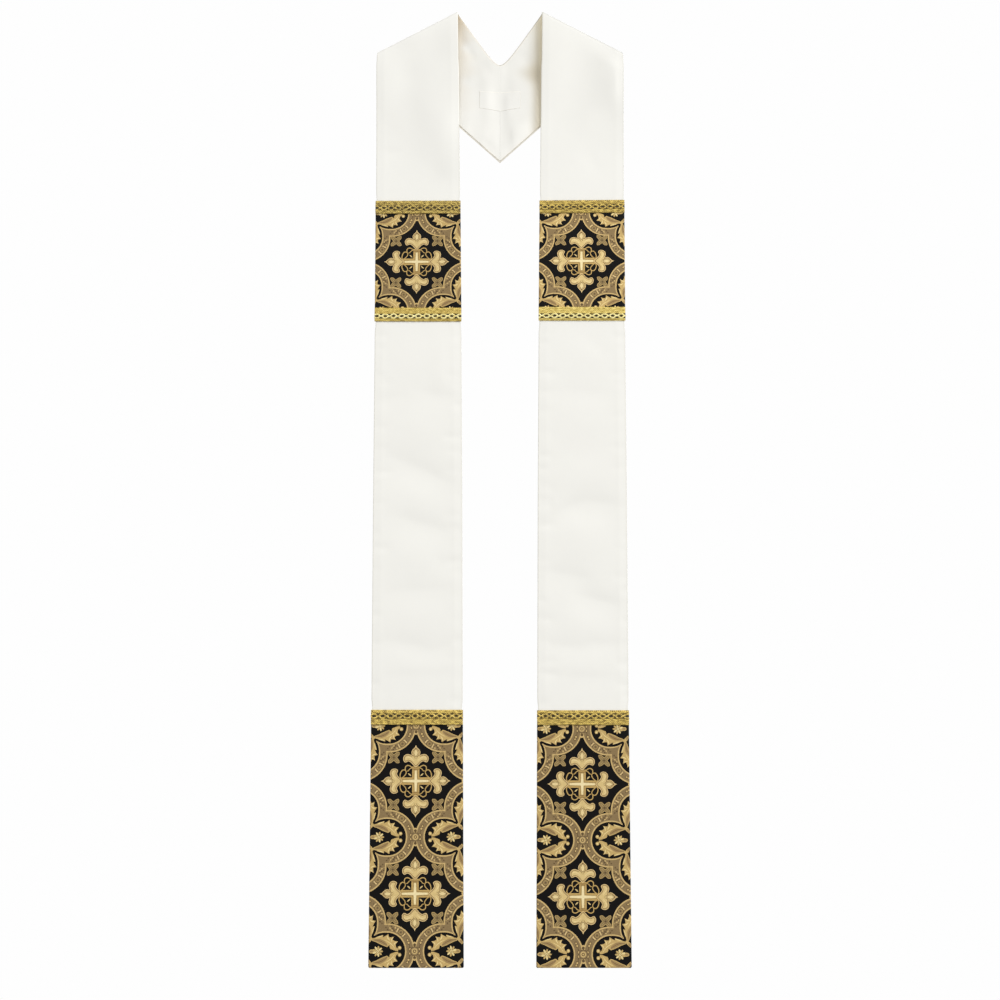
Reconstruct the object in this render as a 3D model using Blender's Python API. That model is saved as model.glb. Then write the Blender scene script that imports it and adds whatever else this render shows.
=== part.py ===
"""A clerical stole laid flat on a table, with both fronts folded over the back neck at the shoulders.

Run it with: blender --background --python part.py

Lengths are in metres. +Z is up, +Y runs from the hems to the shoulders and X = 0 is the centre-back seam. Each
half of the stole is one strip of cloth. Its flat pattern is measured from the shoulder fold: "along" runs with the
fold, and "arc" runs across it, below zero on the front, round the fold, and on into the back neck. A pattern point
and a height over the middle of the cloth give a place in space, so every layer is the same strip at its own height.
Each layer's solid is parted along the crease of the fold, so that the front and the back neck are simple shapes.
"""

import math
from collections import namedtuple

import bmesh
import bpy
import numpy as np

MM = 0.001
LEFT, RIGHT = -1, 1
SIDES = {"left": LEFT, "right": RIGHT}

# Cloth walls, and the gap that is kept between one layer and the next.
OUTER_WALL = 1.3 * MM
LINING_WALL = 1.0 * MM
BROCADE_WALL = 1.0 * MM
GALLOON_WALL = 1.0 * MM
LABEL_WALL = 1.0 * MM
GAP = 0.3 * MM

# Heights over the middle of the cloth, which lies halfway between the outer cloth and the lining.
OUTER_INSIDE = GAP / 2
OUTER_FACE = OUTER_INSIDE + OUTER_WALL
LINING_INSIDE = -GAP / 2
LINING_FACE = LINING_INSIDE - LINING_WALL
BROCADE_INSIDE = OUTER_FACE + GAP
BROCADE_FACE = BROCADE_INSIDE + BROCADE_WALL
GALLOON_INSIDE = BROCADE_FACE + GAP
GALLOON_FACE = GALLOON_INSIDE + GALLOON_WALL
TURNED_EDGE = LINING_FACE + GAP

# Outline of the right half, seen from above.
NECK_POINT = np.array((60.2, 661.6)) * MM
SHOULDER_CORNER = np.array((175.2, 597.4)) * MM
NECK_BACK_TOP_Y = 580.5 * MM
NECK_BACK_TIP_Y = 433.3 * MM
NECKLINE_SLOPE = 1.72
HEM_Y = -661.6 * MM
OUTER_HEM_Y = HEM_Y + BROCADE_WALL + GAP

FrontRow = namedtuple("FrontRow", "y inner outer")
FRONT_ROWS = [
    FrontRow(y=-661.6 * MM, inner=47.4 * MM, outer=166.6 * MM),
    FrontRow(y=-335.0 * MM, inner=50.0 * MM, outer=168.0 * MM),
    FrontRow(y=-53.0 * MM, inner=51.9 * MM, outer=170.2 * MM),
    FrontRow(y=198.0 * MM, inner=54.4 * MM, outer=171.6 * MM),
    FrontRow(y=376.0 * MM, inner=56.6 * MM, outer=172.9 * MM),
    FrontRow(y=597.4 * MM, inner=59.4 * MM, outer=175.2 * MM),
    FrontRow(y=661.6 * MM, inner=60.2 * MM, outer=175.2 * MM),
]

# The shoulder fold is a half turn round an axis that lies parallel to the shoulder line. Its crease is halfway round.
FOLD_RADIUS = 5.0 * MM
FOLD_ARC = math.pi * FOLD_RADIUS
CREASE = 0.5
HALF_CREASE_GAP = GAP / 2.0 / FOLD_ARC
FOLD_STEPS = 4
SHOULDER = SHOULDER_CORNER - NECK_POINT
SHOULDER_LENGTH = float(np.hypot(*SHOULDER))
WITH_FOLD = SHOULDER / SHOULDER_LENGTH
ACROSS_FOLD = np.array((-WITH_FOLD[1], WITH_FOLD[0]))
FOLD_START = NECK_POINT - (FOLD_RADIUS + OUTER_FACE) * ACROSS_FOLD
FOLD_AXIS_Z = OUTER_FACE + FOLD_RADIUS

# How the front comes down: off the fold, and then off the lower edge of the back neck.
FRONT_LIFT_AT_FOLD = FOLD_AXIS_Z + FOLD_RADIUS + LINING_FACE
FRONT_LIFT_ON_NECK = OUTER_FACE - LINING_FACE + GAP
FOLD_RUNOUT = 140.0 * MM
NECK_RUNOUT_START = 10.0 * MM
NECK_RUNOUT = 45.0 * MM
NECK_EDGE = SHOULDER_CORNER - np.array((0.0, NECK_BACK_TIP_Y))
PAST_NECK_EDGE = np.array((NECK_EDGE[1], -NECK_EDGE[0])) / np.hypot(*NECK_EDGE)

# Bands and braid.
GALLOON_WIDTH = 19.5 * MM
BROCADE_UNDER_GALLOON = GALLOON_WIDTH - 3.0 * MM
UPPER_BAND_TOP_Y = 375.8 * MM
UPPER_BAND_BOTTOM_Y = 198.3 * MM
LOWER_BAND_TOP_Y = -334.9 * MM

# Neck label: a plain strip whose lower edge dips to the seam.
LABEL_HALF_WIDTH = 29.3 * MM
LABEL_TOP_Y = 541.0 * MM
LABEL_BOTTOM_Y = 515.8 * MM
LABEL_TOP_DIP = 1.9 * MM
LABEL_BOTTOM_DIP = 5.3 * MM

# Mesh spacing.
SEAM_GAP = GAP
PANELS_ACROSS = 6
FRONT_SPACING = 34.0 * MM
LINING_SPACING = 70.0 * MM
FAN_START_Y = 400.0 * MM
FAN_STEPS = 17
NECK_STEPS = 10

# Soft swells of the outer cloth over the lining. Each fades to nothing at its half length and half width, and
# "turn" is the angle of its length from the X axis.
Swell = namedtuple("Swell", "side x y half_length half_width lift turn")
SWELLS = [
    Swell(side=LEFT, x=-112 * MM, y=146 * MM, half_length=51 * MM, half_width=46 * MM, lift=0.6 * MM, turn=-3),
    Swell(side=LEFT, x=-112 * MM, y=50 * MM, half_length=53 * MM, half_width=42 * MM, lift=0.9 * MM, turn=-13),
    Swell(side=LEFT, x=-111 * MM, y=-47 * MM, half_length=51 * MM, half_width=34 * MM, lift=0.8 * MM, turn=-19),
    Swell(side=LEFT, x=-110 * MM, y=-130 * MM, half_length=51 * MM, half_width=48 * MM, lift=0.9 * MM, turn=-6),
    Swell(side=LEFT, x=-109 * MM, y=-216 * MM, half_length=51 * MM, half_width=34 * MM, lift=0.7 * MM, turn=2),
    Swell(side=LEFT, x=-109 * MM, y=-282 * MM, half_length=51 * MM, half_width=32 * MM, lift=0.5 * MM, turn=-3),
    Swell(side=LEFT, x=-144 * MM, y=520 * MM, half_length=76 * MM, half_width=22 * MM, lift=0.7 * MM, turn=88),
    Swell(side=LEFT, x=-90 * MM, y=505 * MM, half_length=84 * MM, half_width=24 * MM, lift=0.7 * MM, turn=92),
    Swell(side=RIGHT, x=113 * MM, y=150 * MM, half_length=51 * MM, half_width=44 * MM, lift=0.7 * MM, turn=2),
    Swell(side=RIGHT, x=112 * MM, y=60 * MM, half_length=52 * MM, half_width=42 * MM, lift=0.8 * MM, turn=4),
    Swell(side=RIGHT, x=112 * MM, y=-14 * MM, half_length=52 * MM, half_width=32 * MM, lift=0.7 * MM, turn=12),
    Swell(side=RIGHT, x=110 * MM, y=-98 * MM, half_length=52 * MM, half_width=46 * MM, lift=0.9 * MM, turn=-10),
    Swell(side=RIGHT, x=109 * MM, y=-206 * MM, half_length=52 * MM, half_width=42 * MM, lift=0.8 * MM, turn=-14),
    Swell(side=RIGHT, x=109 * MM, y=-280 * MM, half_length=50 * MM, half_width=30 * MM, lift=0.5 * MM, turn=4),
    Swell(side=RIGHT, x=99 * MM, y=522 * MM, half_length=88 * MM, half_width=30 * MM, lift=0.8 * MM, turn=95),
    Swell(side=RIGHT, x=157 * MM, y=505 * MM, half_length=80 * MM, half_width=15 * MM, lift=0.5 * MM, turn=89),
]

# Two pattern points, one on each edge of the strip, and how much further an inset runs along the line between them
# than it does square to each edge.
Station = namedtuple("Station", "inner outer inner_slant outer_slant")

Finish = namedtuple("Finish", "colour roughness metallic")
FINISHES = {
    "outer_cloth": Finish(colour=(0.88, 0.87, 0.82), roughness=0.62, metallic=0.0),
    "lining": Finish(colour=(0.84, 0.79, 0.70), roughness=0.55, metallic=0.0),
    "brocade": Finish(colour=(0.10, 0.075, 0.04), roughness=0.5, metallic=0.2),
    "galloon": Finish(colour=(0.58, 0.42, 0.12), roughness=0.4, metallic=0.6),
    "label": Finish(colour=(0.86, 0.82, 0.74), roughness=0.6, metallic=0.0),
}


def ease(value):
    """Falls smoothly from 1 at 0 to 0 at 1."""
    value = min(max(value, 0.0), 1.0)
    return 1.0 - value * value * (3.0 - 2.0 * value)


def front_point(y, edge):
    """The point of the front's inner or outer edge at this height up the front."""
    rows_y = [row.y for row in FRONT_ROWS]
    return np.array((np.interp(y, rows_y, [getattr(row, edge) for row in FRONT_ROWS]), y))


def neckline_point(x):
    """The neckline: a hyperbola, rounded at the centre back and nearly straight up to the neck point."""
    rise = NECK_POINT[1] - NECK_BACK_TOP_Y
    reach = NECKLINE_SLOPE * NECK_POINT[0]
    rounding = (reach * reach - rise * rise) / (2.0 * rise)
    return np.array((x, NECK_BACK_TOP_Y + math.hypot(NECKLINE_SLOPE * x, rounding) - rounding))


def neck_edge_point(x):
    """The straight lower edge of the back neck, from its tip to the shoulder corner."""
    return np.array((x, NECK_BACK_TIP_Y + x * NECK_EDGE[1] / NECK_EDGE[0]))


def front_pattern(point):
    """Pattern coordinates of a point of the front."""
    offset = point - FOLD_START
    return np.array((offset @ WITH_FOLD, offset @ ACROSS_FOLD))


def neck_pattern(point):
    """Pattern coordinates of a point of the back neck, which runs on past the fold."""
    along, arc = front_pattern(point)
    return np.array((along, FOLD_ARC - arc))


def at_fold(curve, low, high):
    """The place between low and high where a curve in plan crosses the axis of the fold."""
    for _ in range(50):
        middle = (low + high) / 2.0
        if front_pattern(curve(middle))[1] < 0.0:
            low = middle
        else:
            high = middle
    return low


def between(first, last, spacing):
    """Even steps from first to last, none longer than the spacing, with the last one left out."""
    steps = max(1, math.ceil(abs(last - first) / spacing))
    return [first + (last - first) * step / steps for step in range(steps)]


def front_edges(heights):
    """The two edges of the front at each height."""
    return [(front_pattern(front_point(y, "inner")), front_pattern(front_point(y, "outer"))) for y in heights]


def fan_edges():
    """The two edges where the stations turn from level, at the start of the fan, to lie along the fold."""
    inner_end = at_fold(lambda y: front_point(y, "inner"), FAN_START_Y, NECK_POINT[1])
    outer_end = at_fold(lambda y: front_point(y, "outer"), FAN_START_Y, NECK_POINT[1])
    edges = []
    for step in range(FAN_STEPS + 1):
        part = step / FAN_STEPS
        inner_y = FAN_START_Y + (inner_end - FAN_START_Y) * part
        outer_y = FAN_START_Y + (outer_end - FAN_START_Y) * part
        edges.append((front_pattern(front_point(inner_y, "inner")), front_pattern(front_point(outer_y, "outer"))))
    return edges


def neck_edges():
    """The two edges of the back neck, from the axis of the fold to the centre-back seam."""
    inner_start = at_fold(neckline_point, 0.0, NECK_POINT[0])
    outer_start = at_fold(neck_edge_point, 0.0, SHOULDER_CORNER[0])
    edges = []
    for step in range(NECK_STEPS + 1):
        part = 1.0 - step / NECK_STEPS
        inner_x = SEAM_GAP / 2.0 + (inner_start - SEAM_GAP / 2.0) * part
        outer_x = SEAM_GAP / 2.0 + (outer_start - SEAM_GAP / 2.0) * part
        edges.append((neck_pattern(neckline_point(inner_x)), neck_pattern(neck_edge_point(outer_x))))
    return edges


def fold_edges(turns):
    """The two edges at each of these shares of the way round the fold. The outline's corners are at its crease."""
    front_end = fan_edges()[-1]
    neck_start = neck_edges()[0]
    edges = []
    for turn in turns:
        places = []
        for edge, corner in enumerate((0.0, SHOULDER_LENGTH)):
            along = np.interp(turn, (0.0, CREASE, 1.0), (front_end[edge][0], corner, neck_start[edge][0]))
            places.append(np.array((along, turn * FOLD_ARC)))
        edges.append(tuple(places))
    return edges


def with_slants(edges):
    """Stations from edge points, each with its slant worked out from its neighbours."""
    stations = []
    for place, (inner, outer) in enumerate(edges):
        before = edges[max(place - 1, 0)]
        after = edges[min(place + 1, len(edges) - 1)]
        across = (outer - inner) / np.hypot(*(outer - inner))
        slants = []
        for edge in range(2):
            run = after[edge] - before[edge]
            run = run / np.hypot(*run)
            slants.append(1.0 / abs(run[0] * across[1] - run[1] * across[0]))
        stations.append(Station(inner, outer, *slants))
    return stations


def front_stations(heights):
    """Stations of a front: up it at these heights, and round the fold to its crease."""
    end = CREASE - HALF_CREASE_GAP
    turns = [end * step / FOLD_STEPS for step in range(1, FOLD_STEPS + 1)]
    return with_slants(front_edges(heights) + fan_edges() + fold_edges(turns))


def neck_stations():
    """Stations of half the back neck: from the crease of the fold to the centre-back seam."""
    start = CREASE + HALF_CREASE_GAP
    turns = [start + (1.0 - start) * step / FOLD_STEPS for step in range(FOLD_STEPS)]
    return with_slants(fold_edges(turns) + neck_edges())


def front_heights(bottom, spacing):
    """Heights of the front's level stations, with one at the edge of each band."""
    stops = [bottom, LOWER_BAND_TOP_Y, UPPER_BAND_BOTTOM_Y, UPPER_BAND_TOP_Y, FAN_START_Y]
    heights = []
    for first, last in zip(stops, stops[1:]):
        heights += between(first, last, spacing)
    return heights


def front_lift(point, arc):
    """Height of the front's underside over the table, at a point of the right half."""
    on_neck = ease(((point - SHOULDER_CORNER) @ PAST_NECK_EDGE - NECK_RUNOUT_START) / NECK_RUNOUT)
    off_fold = ease(-arc / FOLD_RUNOUT)
    return FRONT_LIFT_ON_NECK * on_neck + (FRONT_LIFT_AT_FOLD - FRONT_LIFT_ON_NECK) * off_fold


def swell(point, side):
    """How far the outer cloth of this half swells up over the lining, at a point of the right half."""
    lift = 0.0
    for row in SWELLS:
        if row.side != side:
            continue
        turn = math.radians(row.turn)
        x = side * point[0] - row.x
        y = point[1] - row.y
        along = (x * math.cos(turn) + y * math.sin(turn)) / row.half_length
        across = (y * math.cos(turn) - x * math.sin(turn)) / row.half_width
        if abs(along) < 1.0 and abs(across) < 1.0:
            lift += row.lift * (math.cos(along * math.pi / 2.0) * math.cos(across * math.pi / 2.0)) ** 2
    return lift


def in_space(pattern, height, side, swells):
    """The place of a pattern point at this height over the middle of the cloth."""
    along, arc = pattern
    if arc <= 0.0:
        point = FOLD_START + along * WITH_FOLD + arc * ACROSS_FOLD
        z = front_lift(point, arc) - LINING_FACE + height
        if swells:
            z += swell(point, side)
    elif arc < FOLD_ARC:
        turn = arc / FOLD_RADIUS
        point = FOLD_START + along * WITH_FOLD + (FOLD_RADIUS + height) * math.sin(turn) * ACROSS_FOLD
        z = FOLD_AXIS_Z + (FOLD_RADIUS + height) * math.cos(turn)
    else:
        point = FOLD_START + along * WITH_FOLD - (arc - FOLD_ARC) * ACROSS_FOLD
        z = FOLD_AXIS_Z - FOLD_RADIUS - height
    return side * point[0], point[1], z


def pattern_point(station, across, inset):
    """A point between the edges of the strip, each of them first moved in by the inset."""
    width = np.hypot(*(station.outer - station.inner))
    step = (station.outer - station.inner) / width
    start = station.inner + step * inset * station.inner_slant
    end = station.outer - step * inset * station.outer_slant
    return start + (end - start) * across


Layer = namedtuple("Layer", "face inside wall outset turned_sides turned_hem swells")
OUTER_FRONT = Layer(OUTER_FACE, OUTER_INSIDE, OUTER_WALL, 0.0, True, True, True)
OUTER_NECK = OUTER_FRONT._replace(turned_hem=False, swells=False)
LINING = Layer(LINING_FACE, LINING_INSIDE, LINING_WALL, -(OUTER_WALL + GAP), False, False, False)
UPPER_BROCADE = Layer(BROCADE_FACE, BROCADE_INSIDE, BROCADE_WALL, BROCADE_WALL + GAP, True, False, False)
LOWER_BROCADE = UPPER_BROCADE._replace(turned_hem=True)
GALLOON = Layer(GALLOON_FACE, GALLOON_INSIDE, GALLOON_WALL, BROCADE_WALL + GAP, False, False, False)


def new_object(name, mesh, finish, collection):
    """An object of this mesh, with its own material, in the stole's collection."""
    material = bpy.data.materials.new(name)
    material.use_nodes = True
    shader = material.node_tree.nodes["Principled BSDF"]
    shader.inputs["Base Color"].default_value = (*finish.colour, 1.0)
    shader.inputs["Roughness"].default_value = finish.roughness
    shader.inputs["Metallic"].default_value = finish.metallic
    material.diffuse_color = (*finish.colour, 1.0)
    mesh.materials.append(material)
    mesh.shade_smooth()
    mesh.set_sharp_from_angle(angle=math.radians(35.0))
    obj = bpy.data.objects.new(name, mesh)
    collection.objects.link(obj)
    return obj


def cloth(name, side, layer, stations, finish, collection):
    """One layer of cloth: a loft through the stations, with walls along the edges that are turned under."""
    inset = -layer.outset
    columns = [(step / PANELS_ACROSS, inset) for step in range(PANELS_ACROSS + 1)]
    if layer.turned_sides:
        columns = [(across, inset + layer.wall) for across, _ in columns]
        columns = [(0.0, inset)] + columns + [(1.0, inset)]
    last_column = len(columns) - 2
    last_row = len(stations) - 2
    heights = {"face": layer.face, "inside": layer.inside, "turned": TURNED_EDGE}

    def under(column, row):
        """Which level the underside of a panel lies at, or None outside the strip."""
        if not (0 <= column <= last_column and 0 <= row <= last_row):
            return None
        side_wall = layer.turned_sides and column in (0, last_column)
        hem_wall = layer.turned_hem and row == 0
        return "turned" if side_wall or hem_wall else "inside"

    panels = [(column, row) for row in range(last_row + 1) for column in range(last_column + 1)]
    inside_corners = set()
    for column, row in panels:
        if under(column, row) == "inside":
            inside_corners |= {(column, row), (column + 1, row), (column, row + 1), (column + 1, row + 1)}

    shape = bmesh.new()
    made = {}

    def vertex(corner, level):
        """The vertex at this corner of the grid and this level, made once."""
        if (corner, level) not in made:
            column, row = corner
            pattern = pattern_point(stations[row], *columns[column])
            made[corner, level] = shape.verts.new(in_space(pattern, heights[level], side, layer.swells))
        return made[corner, level]

    for column, row in panels:
        level = under(column, row)
        corners = [(column, row), (column + 1, row), (column + 1, row + 1), (column, row + 1)]
        shape.faces.new([vertex(corner, "face") for corner in corners])
        shape.faces.new([vertex(corner, level) for corner in corners])
        beyond = [(column, row - 1), (column + 1, row), (column, row + 1), (column - 1, row)]
        for place, neighbour in enumerate(beyond):
            first, second = corners[place], corners[(place + 1) % 4]
            if under(*neighbour) is None:
                ring = [(first, "face"), (second, "face"), (second, level), (first, level)]
                if level == "turned" and second in inside_corners:
                    ring.insert(2, (second, "inside"))
                if level == "turned" and first in inside_corners:
                    ring.append((first, "inside"))
                shape.faces.new([vertex(*key) for key in ring])
            elif level == "turned" and under(*neighbour) == "inside":
                ring = [(first, "inside"), (second, "inside"), (second, "turned"), (first, "turned")]
                shape.faces.new([vertex(*key) for key in ring])
    bmesh.ops.recalc_face_normals(shape, faces=shape.faces)
    mesh = bpy.data.meshes.new(name)
    shape.to_mesh(mesh)
    shape.free()
    return new_object(name, mesh, finish, collection)


def outer_cloth(name, side, collection):
    """The outer cloth of one half, which is cut in one piece from the hem to the centre-back seam."""
    finish = FINISHES["outer_cloth"]
    heights = [OUTER_HEM_Y] + front_heights(OUTER_HEM_Y + OUTER_WALL, FRONT_SPACING)
    cloth(f"outer_front_{name}", side, OUTER_FRONT, front_stations(heights), finish, collection)
    cloth(f"outer_neck_{name}", side, OUTER_NECK, neck_stations(), finish, collection)


def lining(name, side, collection):
    """The lining of one half, felled inside the turned edges of the outer cloth."""
    finish = FINISHES["lining"]
    heights = front_heights(OUTER_HEM_Y + OUTER_WALL + GAP, LINING_SPACING)
    cloth(f"lining_front_{name}", side, LINING, front_stations(heights), finish, collection)
    cloth(f"lining_neck_{name}", side, LINING, neck_stations(), finish, collection)


def band(name, side, layer, bottom, top, finish, collection):
    """A band across one front, between two heights."""
    heights = between(bottom, top, FRONT_SPACING) + [top]
    if layer.turned_hem:
        heights.insert(0, bottom - layer.wall)
    return cloth(name, side, layer, with_slants(front_edges(heights)), finish, collection)


def brocades(name, side, collection):
    """The two brocade bands of one front. Their raw edges end under the galloon."""
    tuck = GALLOON_WIDTH - BROCADE_UNDER_GALLOON
    finish = FINISHES["brocade"]
    band(
        f"brocade_upper_{name}", side, UPPER_BROCADE,
        UPPER_BAND_BOTTOM_Y + tuck, UPPER_BAND_TOP_Y - tuck, finish, collection,
    )
    band(
        f"brocade_lower_{name}", side, LOWER_BROCADE,
        HEM_Y + BROCADE_WALL, LOWER_BAND_TOP_Y - tuck, finish, collection,
    )


def galloons(name, side, collection):
    """The three lengths of galloon on one front, over the raw edges of the brocade."""
    tops = {
        "upper_top": UPPER_BAND_TOP_Y,
        "upper_bottom": UPPER_BAND_BOTTOM_Y + GALLOON_WIDTH,
        "lower": LOWER_BAND_TOP_Y,
    }
    for place, top in tops.items():
        band(
            f"galloon_{place}_{name}", side, GALLOON,
            top - GALLOON_WIDTH, top, FINISHES["galloon"], collection,
        )


def neck_label(collection):
    """The blank label on the lining, as a flat outline that is extruded to its thickness."""
    bottom_z = FOLD_AXIS_Z - FOLD_RADIUS - LINING_FACE + GAP
    half = LABEL_HALF_WIDTH
    outline = [
        (-half, LABEL_TOP_Y),
        (0.0, LABEL_TOP_Y - LABEL_TOP_DIP),
        (half, LABEL_TOP_Y),
        (half, LABEL_BOTTOM_Y),
        (0.0, LABEL_BOTTOM_Y - LABEL_BOTTOM_DIP),
        (-half, LABEL_BOTTOM_Y),
    ]
    shape = bmesh.new()
    face = shape.faces.new([shape.verts.new((x, y, bottom_z)) for x, y in outline])
    raised = bmesh.ops.extrude_face_region(shape, geom=[face])
    top = [item for item in raised["geom"] if isinstance(item, bmesh.types.BMVert)]
    bmesh.ops.translate(shape, verts=top, vec=(0.0, 0.0, LABEL_WALL))
    bmesh.ops.recalc_face_normals(shape, faces=shape.faces)
    mesh = bpy.data.meshes.new("neck_label")
    shape.to_mesh(mesh)
    shape.free()
    return new_object("neck_label", mesh, FINISHES["label"], collection)


def main():
    """Clears the scene and builds the stole."""
    for obj in list(bpy.data.objects):
        bpy.data.objects.remove(obj, do_unlink=True)
    collection = bpy.data.collections.new("clerical_stole")
    bpy.context.scene.collection.children.link(collection)
    for name, side in SIDES.items():
        outer_cloth(name, side, collection)
        lining(name, side, collection)
        brocades(name, side, collection)
        galloons(name, side, collection)
    neck_label(collection)


main()
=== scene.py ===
"""A clerical stole laid flat: white cloth folded at the shoulders, woven bands, gold braid and a label.

Lengths are in metres, unless a name ends in _mm or a docstring says millimetres. +Z is up, +Y runs from the
hems to the shoulders, and X = 0 is the centre-back seam. Each half is one strip of cloth. Its pattern
coordinates are "along", which runs with the shoulder fold, and "arc", which runs across it: below zero on the
front, round the fold, and on into the back neck.
"""

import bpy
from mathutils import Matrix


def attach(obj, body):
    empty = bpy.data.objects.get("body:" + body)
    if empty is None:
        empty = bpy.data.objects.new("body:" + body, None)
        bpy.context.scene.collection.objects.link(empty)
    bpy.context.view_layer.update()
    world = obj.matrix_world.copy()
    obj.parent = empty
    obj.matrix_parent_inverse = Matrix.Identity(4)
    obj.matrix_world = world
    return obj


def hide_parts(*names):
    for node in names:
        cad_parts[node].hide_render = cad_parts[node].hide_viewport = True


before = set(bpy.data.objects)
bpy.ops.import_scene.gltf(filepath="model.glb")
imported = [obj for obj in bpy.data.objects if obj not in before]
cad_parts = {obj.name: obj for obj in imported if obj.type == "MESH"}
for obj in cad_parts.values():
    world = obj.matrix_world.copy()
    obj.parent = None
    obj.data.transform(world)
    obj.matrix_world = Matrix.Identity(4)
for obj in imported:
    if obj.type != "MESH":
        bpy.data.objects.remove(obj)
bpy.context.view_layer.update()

import logging
import math
from collections.abc import Callable
from dataclasses import dataclass, field, replace
from enum import Enum

import bpy
import numpy as np
from bpy.types import Material, Node, NodeSocket, NodeTree, Object
from mathutils import Vector
from mathutils.geometry import delaunay_2d_cdt

LOG = logging.getLogger("stole")
MM = 0.001
# How steeply a crease with a left_width comes back on its left
LEFT_STEEPNESS = 3.0
# The middle part of a crease's length that has its full depth
FULL_DEPTH_PART = 0.15
# The radians that a wave texture of scale 1 turns through in one unit of length
WAVE_RADIANS = 20.0
# When a polygon is moved in: the longest side, and how near its old outline a point may come, as shares
INSET_SIDE = 0.6
INSET_KEPT = 0.93
# Points of the brocade this near to each other become one
MERGED_MM = 1e-4
Array = np.ndarray
Pair = tuple[float, float]
Triple = tuple[float, float, float]
Colour = Triple
Faces = list[tuple[int, ...]]
Value = NodeSocket | float


class Half(Enum):
    """The two halves of the stole, as the sign of their X."""

    LEFT = -1
    RIGHT = 1


def screen_colour(code: str) -> Colour:
    """The linear colour of a hexadecimal screen colour.

    Args:
        code: six hexadecimal digits.

    Returns:
        Red, green and blue.
    """
    parts = [int(code[place : place + 2], 16) / 255.0 for place in (0, 2, 4)]
    red, green, blue = (
        part / 12.92 if part <= 0.04045 else ((part + 0.055) / 1.055) ** 2.4 for part in parts
    )
    return red, green, blue


def table(kind: type, *rows: tuple[float, ...]) -> tuple:
    """One object of this kind for each row, whose columns are its fields in order."""
    return tuple(kind(*row) for row in rows)


def ease(value: Array) -> Array:
    """Falls smoothly from 1 at 0 to 0 at 1."""
    value = np.clip(value, 0.0, 1.0)
    return 1.0 - value * value * (3.0 - 2.0 * value)


def bulge(distance: Array, radius: float) -> Array:
    """Rises as a quarter circle from 0 at the edge to 1 at this distance from it."""
    short = 1.0 - np.clip(distance / radius, 0.0, 1.0)
    return np.sqrt(1.0 - short * short)


def bell(distance: Array, reach: float | Array) -> Array:
    """Falls as a bell from 1 at no distance, to about a third at the reach."""
    return np.exp(-((distance / reach) ** 2))


def unit(ways: Array) -> Array:
    """The ways with a length of 1."""
    return ways / np.hypot(ways[:, 0], ways[:, 1])[:, None]


def doubled_area(points: Array) -> float:
    """Twice the area of a polygon, or below zero if it runs clockwise."""
    following = np.roll(points, -1, axis=0)
    return float(np.sum(points[:, 0] * following[:, 1] - points[:, 1] * following[:, 0]))


# ---- The cut of the stole, and how it lies ----


@dataclass(frozen=True)
class Heights:
    """Heights of the layers over the cloth's middle, which lies between the outer cloth and the lining."""

    outer_face: float = 1.45 * MM
    outer_inside: float = 0.15 * MM
    lining_inside: float = -0.15 * MM
    lining_face: float = -1.15 * MM
    turned_edge: float = -0.85 * MM
    brocade_face: float = 2.75 * MM
    brocade_wall: float = 1.0 * MM
    galloon_face: float = 4.05 * MM
    galloon_inside: float = 3.05 * MM
    gap: float = 0.3 * MM


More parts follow.
